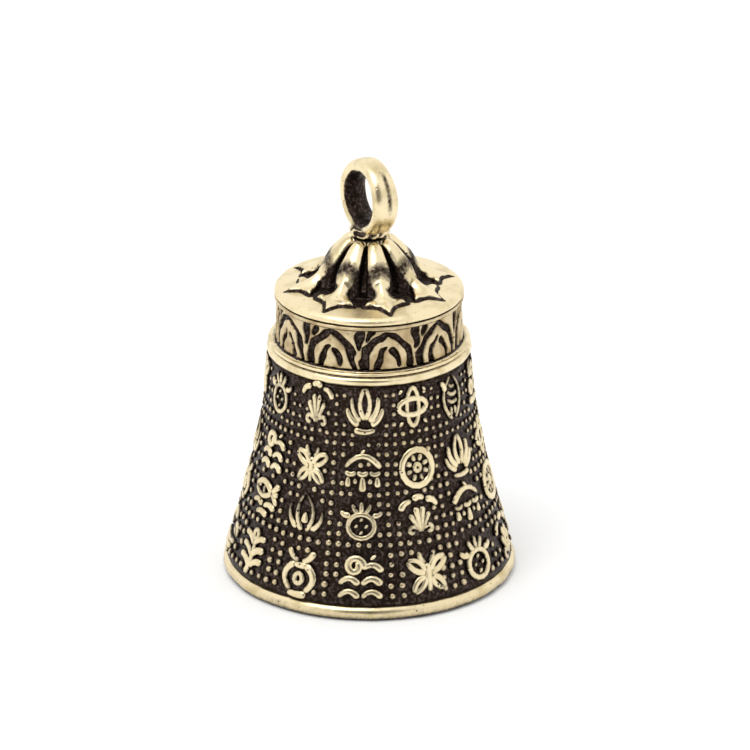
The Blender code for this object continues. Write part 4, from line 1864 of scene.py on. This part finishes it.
@dataclass
class Crown:
    """The lotus crown, one tine repeated round the axis."""

    shape: CrownShape
    rings: int = 120
    columns: int = 84
    inner: float = 0.9 * MM
    outer: float = 6.55 * MM
    sunk: float = 0.1 * MM

    def tine(self) -> Piece:
        """Returns one tine's sector, open along its two straight edges.

        Returns:
            The sector, that the tree repeats.
        """
        step = math.tau / self.shape.tines
        angles = np.linspace(-step / 2, step / 2, self.columns) + self.shape.turn
        radii = np.linspace(self.inner, self.outer, self.rings)
        angle, radius = (g.reshape(-1) for g in np.meshgrid(angles, radii))
        points = np.stack([radius * np.cos(angle), radius * np.sin(angle), np.zeros(len(angle))], axis=-1)
        points[:, 2], relief = self.shape.surface(points)
        for reach in (self.outer, self.inner):
            height = self.shape.form.dome(np.full(len(angles), reach)) - self.sunk
            ring = np.column_stack([reach * np.cos(angles), reach * np.sin(angles), height])
            points = np.concatenate([points, ring])
            relief = np.concatenate([relief, np.zeros(len(angles))])
        return new_object("tine", points, grid_faces(self.rings + 2, self.columns, True, False), relief)

    def around_group(self) -> NodeGroup:
        """Returns the tree that repeats a tine round the axis and joins the sectors.

        Returns:
            The tree.
        """
        group = NodeGroup("Tines Round The Axis")
        count = group.size("Tines", float(self.shape.tines))
        material = group.thing("Material", "NodeSocketMaterial")
        line = group.node("GeometryNodeMeshLine")
        group.feed(line.inputs["Count"], count)
        line.inputs["Offset"].default_value = (0.0, 0.0, 0.0)
        index = group.node("GeometryNodeInputIndex").outputs[0]
        angle = group.maths("DIVIDE", group.maths("MULTIPLY", index, math.tau), count)
        placed = group.node("GeometryNodeInstanceOnPoints")
        group.feed(placed.inputs["Points"], line.outputs["Mesh"])
        group.feed(placed.inputs["Instance"], group.enter.outputs["Geometry"])
        group.feed(placed.inputs["Rotation"], group.vector(0.0, 0.0, angle))
        group.finish(placed.outputs[0], material)
        return group

    def dress(self, dresser: Dresser) -> None:
        """Builds and dresses the crown."""
        painted = {"Material": dresser.material(Finish.CROWN)}
        crown = grown("crown_tines", self.tine(), self.around_group(), painted)
        tidy_mesh(crown, 0.002 * MM)
        dresser.dress(crown, Finish.CROWN, "worn_crown", "bell", "lotus_crown")


@dataclass
class Loop:
    """The suspension loop: a broad ring, rubbed outside with a painted dark reflection down its outer face,
    dark and rough inside, on a lumpy foot.
    """

    form: BellForm
    thickness: float = 1.12 * MM
    width: float = 2.15 * MM
    corner: float = 2.1
    narrowing: float = 0.12
    swell: float = 0.12 * MM
    inner_lump: float = 0.05 * MM
    inner_lump_length: float = 0.9 * MM
    lump: float = 0.02 * MM
    lump_length: float = 2.4 * MM
    dip: float = 0.05 * MM
    shank_radius: float = 0.9 * MM
    shank_length: float = 7.2 * MM
    steps: int = 200
    sides: int = 56

    def section(self, side: np.ndarray) -> tuple[np.ndarray, np.ndarray]:
        """Returns the section's way out and way across at angles round it: a rounded rectangle.

        Args:
            side: Angles, with 0 on the ring's outer side.

        Returns:
            The ways out and across.
        """
        cosine, sine = np.cos(side), np.sin(side)
        out = np.sign(cosine) * np.abs(cosine) ** (2 / self.corner) * (self.thickness / 2 - 0.02 * MM)
        across = np.sign(sine) * np.abs(sine) ** (2 / self.corner) * (self.width / 2 - 0.03 * MM)
        return out, across

    def ring(self) -> Piece:
        """Returns the ring, upright with its hole along Y.

        Returns:
            The piece, at rest and at the origin.
        """
        form = self.form
        middle = form.loop_radius - self.thickness / 2
        turns = np.arange(self.steps) * math.tau / self.steps
        sides = np.arange(self.sides) * math.tau / self.sides
        turn, side = (g.reshape(-1) for g in np.meshgrid(turns, sides, indexing="ij"))
        up, outward = np.sin(turn), np.cos(side)
        out, across = self.section(side)
        inner = smooth_step(-outward, 0.25, 0.7)
        narrowed = 1 - self.narrowing * smooth_step(up, 0.1, 1.0)
        swell = self.swell * smooth_step(up, 0.3, 1.0) * smooth_step(-outward, -0.2, 0.9)
        reach = middle + out - swell
        points = np.stack([reach * np.cos(turn), across * narrowed, reach * up], axis=-1)
        lumps = ripple(points, self.inner_lump_length, 51) * self.inner_lump * inner
        lumps += ripple(points, self.lump_length, 52) * self.lump
        lumps -= self.dip * bump_at(across, 0.0, 0.35 * MM) * smooth_step(outward, 0.3, 0.9)
        reach = np.minimum(reach + lumps, form.loop_radius - 0.005 * MM)
        points[:, 0] = reach * np.cos(turn)
        points[:, 2] = reach * up + form.loop_foot + form.loop_radius
        # Painted dark reflection: a stripe down the ring's outer face, just off its middle, where the relief
        # is cut to the patina's colour. The dip cut into the shape a few lines earlier is real.
        dark_reflection_stripe = bump_at(across, 0.12 * MM, 0.26 * MM) * smooth_step(outward, 0.3, 0.8)
        dark_reflection_stripe = dark_reflection_stripe * smooth_step(up, -0.55, 0.15) * (1 - smooth_step(up, 0.72, 0.95))
        base = smooth_step(-up, 0.86, 0.99)
        relief = (1 - inner * 0.95) * (1 - 0.55 * base) * (1 - 0.6 * dark_reflection_stripe)
        obj = new_object("loop_ring", points, grid_faces(self.steps, self.sides, True, True), relief)
        tidy_mesh(obj)
        return obj

    def foot(self) -> Piece:
        """Returns the lumpy foot under the ring and the shank below it.

        Returns:
            The piece, at rest and at the origin.
        """
        base = self.form.loop_foot
        shank_end = base - self.shank_length
        outline = [(0.0, base + 0.75 * MM), (self.shank_radius, base + 0.7 * MM)]
        outline += arc((1.16 * MM, base + 0.27 * MM), 0.32 * MM, 80, -60, 10)
        outline += [(self.shank_radius, base - 0.03 * MM), (self.shank_radius, shank_end), (0.0, shank_end)]
        relief = [0.3, 0.3, 0.4] + [0.75] * 7 + [0.4, 0.1, 0.0, 0.1, 0.1]
        return turned("loop_foot", outline, 120, relief, self.lumpy)

    @staticmethod
    def lumpy(points: np.ndarray) -> Carving:
        """Lets the foot's flank wander as poured metal does, and darkens its hollows.

        Args:
            points: Vertex places.

        Returns:
            How far each moves outwards, and its share of the relief.
        """
        flank = smooth_step(radius_of(points), 1.0 * MM, 1.2 * MM)
        lumps = ripple(points, 0.75 * MM, 61)
        push = (0.1 * lumps - 0.04) * MM * flank
        return push, 1 - 0.7 * flank * smooth_step(-lumps, -0.1, 0.5)

    def dress(self, dresser: Dresser) -> None:
        """Builds and dresses the ring and its foot."""
        dresser.dress(self.ring(), Finish.LOOP, "polished_loop", "bell", "suspension_loop")
        dresser.dress(self.foot(), Finish.LOOP, "polished_loop", "bell", "suspension_loop")


@dataclass
class InnerPiece:
    """A piece inside the bell that keeps its frame shape, with its doubled corners merged."""

    node: str
    body: str
    finish: Finish
    slot: str
    worn: float = 0.6
    crease: float = math.radians(40)

    def dress(self, dresser: Dresser) -> None:
        """Copies the frame's node, merges it and dresses it.

        Args:
            dresser: Makes the finishes and hands pieces to the frame.
        """
        source = bpy.data.objects[self.node]
        mesh = source.data.copy()
        for name in [a.name for a in mesh.attributes if a.domain == "CORNER" and not a.is_required]:
            mesh.attributes.remove(mesh.attributes[name])
        obj = bpy.data.objects.new(f"{self.node}_brass", mesh)
        bpy.context.scene.collection.objects.link(obj)
        tidy_mesh(obj)
        levels = mesh.attributes.new(RELIEF, "FLOAT", "POINT")
        levels.data.foreach_set("value", np.full(len(mesh.vertices), self.worn, np.float32))
        sharp = obj.data.attributes.new("sharp_edge", "BOOLEAN", "EDGE")
        bm = bmesh.new()
        bm.from_mesh(mesh)
        creased = [len(e.link_faces) == 2 and e.calc_face_angle() > self.crease for e in bm.edges]
        bm.free()
        sharp.data.foreach_set("value", creased)
        dresser.dress(obj, self.finish, self.slot, self.body, self.node)


# ---------------------------------------------------------------------------------------------------------
# Studio
# ---------------------------------------------------------------------------------------------------------


@dataclass
class Studio:
    """A white floor in an even white surround, with a dark gap in it where the camera stands."""

    azimuth: float = math.radians(60.0)
    height: float = math.radians(24.0)
    distance: float = 550 * MM
    focal: float = 350.2
    aim_height: float = 15.25 * MM
    aim_aside: float = 0.43 * MM
    surround: float = 1.12
    gap_size: float = math.radians(25.0)
    gap_level: float = 0.03
    floor_half: float = 600 * MM
    floor_grey: float = 0.93
    light_size: float = 260 * MM
    light_distance: float = 420 * MM
    light_power: float = 0.55

    def toward(self, azimuth: float, height: float) -> Vector:
        """Returns the direction from the bell to something at an azimuth and a height above the floor.

        Args:
            azimuth: Turn about Z, from the view along +Y.
            height: Angle above the floor.

        Returns:
            The direction, of length 1.
        """
        return Vector(
            (math.sin(azimuth) * math.cos(height), -math.cos(azimuth) * math.cos(height), math.sin(height))
        )

    def floor(self) -> None:
        """Makes the pale floor that the bell stands on."""
        half = self.floor_half
        corners = np.array([(-half, -half, 0), (half, -half, 0), (half, half, 0), (-half, half, 0)], float)
        obj = new_object("floor", corners - np.array([0, 0, 0.02 * MM]), [(0, 1, 2, 3)])
        material = bpy.data.materials.new("white_floor")
        material.use_nodes = True
        shader = material.node_tree.nodes["Principled BSDF"]
        shader.inputs["Base Color"].default_value = (*[self.floor_grey] * 3, 1.0)
        shader.inputs["Roughness"].default_value = 0.9
        shader.inputs["Specular IOR Level"].default_value = 0.0
        obj.data.materials.append(material)

    def world(self) -> None:
        """Lights everything from a white surround with a soft dark gap round the camera."""
        world = bpy.data.worlds.new("white_surround")
        bpy.context.scene.world = world
        world.use_nodes = True
        work = ShaderWork(world.node_tree)
        background = world.node_tree.nodes["Background"]
        background.inputs["Color"].default_value = (1.0, 1.0, 1.0, 1.0)
        facing = work.node("ShaderNodeVectorMath", operation="DOT_PRODUCT")
        work.feed(facing.inputs[0], work.node("ShaderNodeTexCoord").outputs["Generated"])
        facing.inputs[1].default_value = self.toward(self.azimuth, self.height)
        edges = (math.cos(self.gap_size * 1.25), math.cos(self.gap_size * 0.7))
        levels = (self.surround, self.gap_level)
        level = work.mapped("SMOOTHSTEP", facing.outputs["Value"], edges, levels)
        work.feed(background.inputs["Strength"], level)

    def light(self) -> None:
        """Adds the large soft light above and to the left of the camera."""
        data = bpy.data.lights.new("softbox", "AREA")
        data.shape = "DISK"
        data.size = self.light_size
        data.energy = self.light_power
        obj = bpy.data.objects.new("softbox", data)
        way = self.toward(self.azimuth - math.radians(35), math.radians(62))
        obj.location = way * self.light_distance
        obj.rotation_euler = way.to_track_quat("Z", "Y").to_euler()
        bpy.context.scene.collection.objects.link(obj)

    def camera(self) -> None:
        """Adds the camera."""
        data = bpy.data.cameras.new("camera")
        data.lens = self.focal
        data.sensor_width = 36.0
        data.clip_start = 10 * MM
        data.clip_end = 10.0
        obj = bpy.data.objects.new("camera", data)
        obj.location = self.toward(self.azimuth, self.height) * self.distance
        aside = Vector((math.cos(self.azimuth), math.sin(self.azimuth), 0)) * self.aim_aside
        aim = Vector((0, 0, self.aim_height)) + aside
        obj.rotation_euler = (aim - obj.location).to_track_quat("-Z", "Y").to_euler()
        bpy.context.scene.collection.objects.link(obj)
        bpy.context.scene.camera = obj

    def build(self) -> None:
        """Builds the whole studio."""
        self.floor()
        self.world()
        self.light()
        self.camera()
        bpy.context.scene.view_settings.view_transform = "Standard"


def main() -> None:
    """Builds the bell's looks round its frame, then the studio."""
    logging.basicConfig(level=logging.INFO, format="%(name)s: %(message)s")
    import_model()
    form = BellForm.read()
    dresser = Dresser()
    crown = CrownShape(form)
    outer = [MouthLip(form), Skirt(form), WaistRing(form), Drum(form), Cap(form, crown)]
    outer += [Crown(crown), Loop(form)]
    inner = [InnerPiece(node, "bell", Finish.INNER, "inner_brass") for node in CLAMPED_NODES]
    inner += [
        InnerPiece("clapper_link", "jump_ring", Finish.INNER, "inner_brass"),
        InnerPiece("clapper_rod", "clapper", Finish.INNER, "inner_brass"),
        InnerPiece("clapper_ball", "clapper", Finish.CLAPPER, "clapper_brass"),
        InnerPiece("clapper_cap_nut", "clapper", Finish.CLAPPER, "clapper_brass"),
    ]
    for piece in outer + inner:
        piece.dress(dresser)
    Studio().build()
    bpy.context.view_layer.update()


if __name__ == "__main__":
    main()
